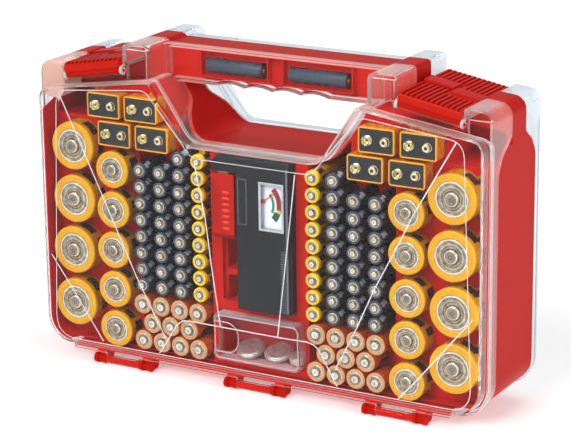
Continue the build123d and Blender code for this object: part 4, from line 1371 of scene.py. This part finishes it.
@dataclass
class Contents:
    """Every cell in the case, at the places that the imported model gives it.

    A column of AAA cells is (x, count). A row of AA cells is (z, first x, count).
    """

    d_places: Pairs = ((146.0, 155.7), (146.0, 117.5), (147.7, 79.9), (147.7, 41.4))
    c_places: Pairs = (
        (113.5, 142.5), (113.6, 113.6), (114.4, 84.3), (114.4, 55.6), (114.2, 26.6))
    nine_places: Pairs = ((90.5, 186.7), (120.7, 186.7), (82.2, 167.1), (112.6, 167.1))
    yellow_columns: tuple[tuple[float, int], ...] = ((44.2, 9),)
    dark_columns: tuple[tuple[float, int], ...] = ((59.5, 9), (75.0, 8), (90.9, 8))
    aaa_bottom: float = 62.3
    aaa_pitch: float = 11.8
    aa_rows: tuple[tuple[float, float, int], ...] = (
        (48.4, 46.3, 4), (35.2, 53.8, 3), (22.0, 46.3, 4))
    aa_pitch: float = 15.0
    handle_places: tuple[Point, ...] = ((-31.5, -4.75, 216.0), (33.0, -4.75, 216.0))
    back_first: Point = (-135.0, 29.75, 23.2)
    back_pitch: Pair = (54.0, 15.2)
    back_counts: tuple[int, int] = (6, 9)

    def aaa_places(self, columns: Sequence[tuple[float, int]]) -> list[Pair]:
        """The places of whole columns of AAA cells on both sides."""
        return both_sides([(x, self.aaa_bottom + row * self.aaa_pitch) for x, rows in columns
                           for row in range(rows)])

    def build(self) -> None:
        """Makes every kind of cell."""
        large = (YELLOW_RING, AMBER_SIDE, BLACK_PRINT)
        aa_places = both_sides([(x + self.aa_pitch * i, z) for z, x, count in self.aa_rows
                                for i in range(count)])
        (x, y, z), (across, up) = self.back_first, self.back_pitch
        columns, rows = self.back_counts
        back_places = [(x + across * column, y, z + up * row) for column in range(columns)
                       for row in range(rows)]
        kinds = (
            RoundCells("d_cell", D_SIZE, both_sides(self.d_places), large, (
                (38.0, 76.0, 6.0, 13.0, 2), (345.0, 360.0, 9.0, 30.0, 2),
                (0.0, 24.0, 9.0, 30.0, 2), (90.0, 150.0, 16.0, 44.0, 2)),
                Slot.LARGE_JACKET, 3.4, 72, NUB_TOP_PAINTED_SHADE),
            RoundCells("c_cell", C_SIZE, both_sides(self.c_places), large, (
                (40.0, 76.0, 4.5, 11.0, 2), (0.0, 28.0, 7.0, 26.0, 2),
                (90.0, 150.0, 14.0, 36.0, 2)), Slot.LARGE_JACKET, 3.0, 60, NUB_TOP_PAINTED_SHADE),
            RoundCells("aa_cell", AA_SIZE, aa_places, (PEACH_RING, ORANGE, BLACK_PRINT), (
                (330.0, 360.0, 9.0, 24.0, 2),), Slot.ORANGE_JACKET, 2.1),
            RoundCells("yellow_aaa_cell", AAA_SIZE, self.aaa_places(self.yellow_columns), (
                SMALL_YELLOW, AMBER_SIDE, BLACK_PRINT, SMALL_YELLOW), (
                (0.0, 360.0, 2.3, 4.6, 3), (20.0, 62.0, 4.6, 12.0, 2),
                (330.0, 360.0, 7.0, 20.0, 2)), Slot.SMALL_JACKET, 2.3),
            RoundCells("dark_aaa_cell", AAA_SIZE, self.aaa_places(self.dark_columns), (
                SLATE_EDGE, SLATE, GREY_FLASH, BLACK_PRINT), (
                (22.0, 58.0, 3.2, 6.6, 2), (34.0, 72.0, 6.6, 10.2, 2),
                (0.0, 80.0, 13.0, 30.0, 3)), Slot.SLATE_JACKET, 2.3),
            NineVoltCells(both_sides(self.nine_places)),
            LyingCells("handle_cell", AAA_SIZE, self.handle_places, (
                SLATE_EDGE, SLATE, GREY_FLASH), (
                (0.0, 360.0, 2.4, 3.2, 1), (225.0, 300.0, 12.0, 13.0, 2)),
                Slot.SLATE_JACKET, BRASS),
            LyingCells("back_cell", AA_SIZE, back_places, (ORANGE, PEACH_RING, BLACK_PRINT), (
                (0.0, 360.0, 1.9, 4.0, 1), (0.0, 360.0, 30.0, 46.0, 2)),
                Slot.ORANGE_JACKET, NICKEL),
            CoinCells(),
        )
        for kind in kinds:
            kind.build()


@dataclass
class Studio:
    """The pale floor, the soft lights and the camera at the photograph's viewing angle."""

    camera_at: Point = (749.8, -1301.95, 562.2)
    azimuth: float = 29.89
    elevation: float = 16.66
    roll: float = -0.73
    lens: float = 144.47
    floor_half: float = 6.0
    floor_z: float = -0.0003
    ambient: float = 0.32
    mirrored: float = 0.3
    target: Point = (0.0, 0.0, 110.0)
    key_at: Point = (-350.0, -1300.0, 1310.0)
    key_strength: float = 1.38
    key_spread: float = 30.0
    fill_at: Point = (1500.0, -500.0, 700.0)
    fill_power: float = 7.0
    top_at: Point = (100.0, 500.0, 1500.0)
    top_power: float = 5.0
    lamp_side: float = 0.9

    def floor(self) -> None:
        """A plain pale floor just under the case."""
        mesh, h = bpy.data.meshes.new("floor"), self.floor_half
        mesh.from_pydata([(x, y, self.floor_z) for x, y in ((-h, -h), (h, -h), (h, h), (-h, h))],
                         [], [(0, 1, 2, 3)])
        mesh.materials.append(FLOOR.build())
        link("floor", mesh)

    def camera(self) -> None:
        """Puts the camera where the photograph was taken from."""
        data = bpy.data.cameras.new("camera")
        data.lens, data.sensor_width, data.clip_start, data.clip_end = self.lens, 36.0, 0.05, 60.0
        camera = link("camera", data)
        camera.matrix_world = Matrix.Translation(Vector(self.camera_at) * MM)
        for degrees, axis in ((self.azimuth, "Z"), (90.0 - self.elevation, "X"), (self.roll, "Z")):
            camera.matrix_world @= Matrix.Rotation(math.radians(degrees), 4, axis)
        bpy.context.scene.camera = camera

    def lamp(self, name: str, kind: str, at: Point, strength: float, **settings: float) -> None:
        """Adds a soft lamp that faces the case.

        Args:
            name: the lamp's name.
            kind: AREA for a near square lamp, SUN for a far one that lights the floor evenly.
            at: where it hangs.
            strength: in watts, or in watts per square metre for a far one.
            settings: its size in metres, or its angle.
        """
        data = bpy.data.lights.new(name, kind)
        data.energy = strength
        for setting, value in settings.items():
            setattr(data, setting, value)
        aim = Vector(self.target) - Vector(at)
        link(name, data).matrix_world = (Matrix.Translation(Vector(at) * MM)
                                         @ aim.to_track_quat("-Z", "Y").to_matrix().to_4x4())

    def surroundings(self) -> None:
        """White to the eye, also through the clear lids, but dimmer as a source of light."""
        world = bpy.data.worlds.new("studio")
        world.use_nodes = True
        tree = world.node_tree
        tree.nodes.clear()
        path = add_node(tree, "ShaderNodeLightPath").outputs
        seen = add_node(tree, "ShaderNodeMath", {
            0: path["Is Camera Ray"], 1: path["Is Transmission Ray"]}, operation="MAXIMUM")
        mirrored = add_node(tree, "ShaderNodeMath", {
            0: path["Is Glossy Ray"], 1: self.mirrored}, operation="MULTIPLY")
        white = add_node(tree, "ShaderNodeMath", {
            0: seen.outputs[0], 1: mirrored.outputs[0]}, operation="MAXIMUM")
        strength = add_node(tree, "ShaderNodeMapRange", {
            "Value": white.outputs[0], "To Min": self.ambient, "To Max": 1.0})
        back = add_node(tree, "ShaderNodeBackground", {
            "Color": linear("#FFFFFF"), "Strength": strength.outputs["Result"]})
        add_node(tree, "ShaderNodeOutputWorld", {"Surface": back.outputs[0]})
        bpy.context.scene.world = world

    def build(self) -> None:
        """Sets the floor, the camera, the lamps and the white surroundings."""
        self.floor()
        self.camera()
        self.lamp("key", "SUN", self.key_at, self.key_strength, angle=math.radians(self.key_spread))
        self.lamp("fill", "AREA", self.fill_at, self.fill_power, size=self.lamp_side)
        self.lamp("top", "AREA", self.top_at, self.top_power, size=self.lamp_side)
        self.surroundings()
        bpy.context.scene.view_settings.view_transform = "Standard"


def dress_frame(nodes: dict[str, bpy.types.Object]) -> None:
    """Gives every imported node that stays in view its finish.

    Args:
        nodes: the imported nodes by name.
    """
    for name, finish in CAD_FINISHES.items():
        nodes[name].data.materials.clear()
        nodes[name].data.materials.append(finish.build())
        LOG.info("%s: %s", name, finish.name)


def main() -> None:
    """Builds the whole picture."""
    logging.basicConfig(level=logging.INFO, format="%(message)s")
    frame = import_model()
    Studio().build()
    dress_frame(frame["nodes"])
    for part in (Contents(), LidLines(), PivotBosses(), LatchRolls(), PostCore(), TrayRim(),
                 HingeSleeves(), HandleRibs(), SliderRidges(), BinEdges(), Tester()):
        part.build()


if __name__ == "__main__":
    main()
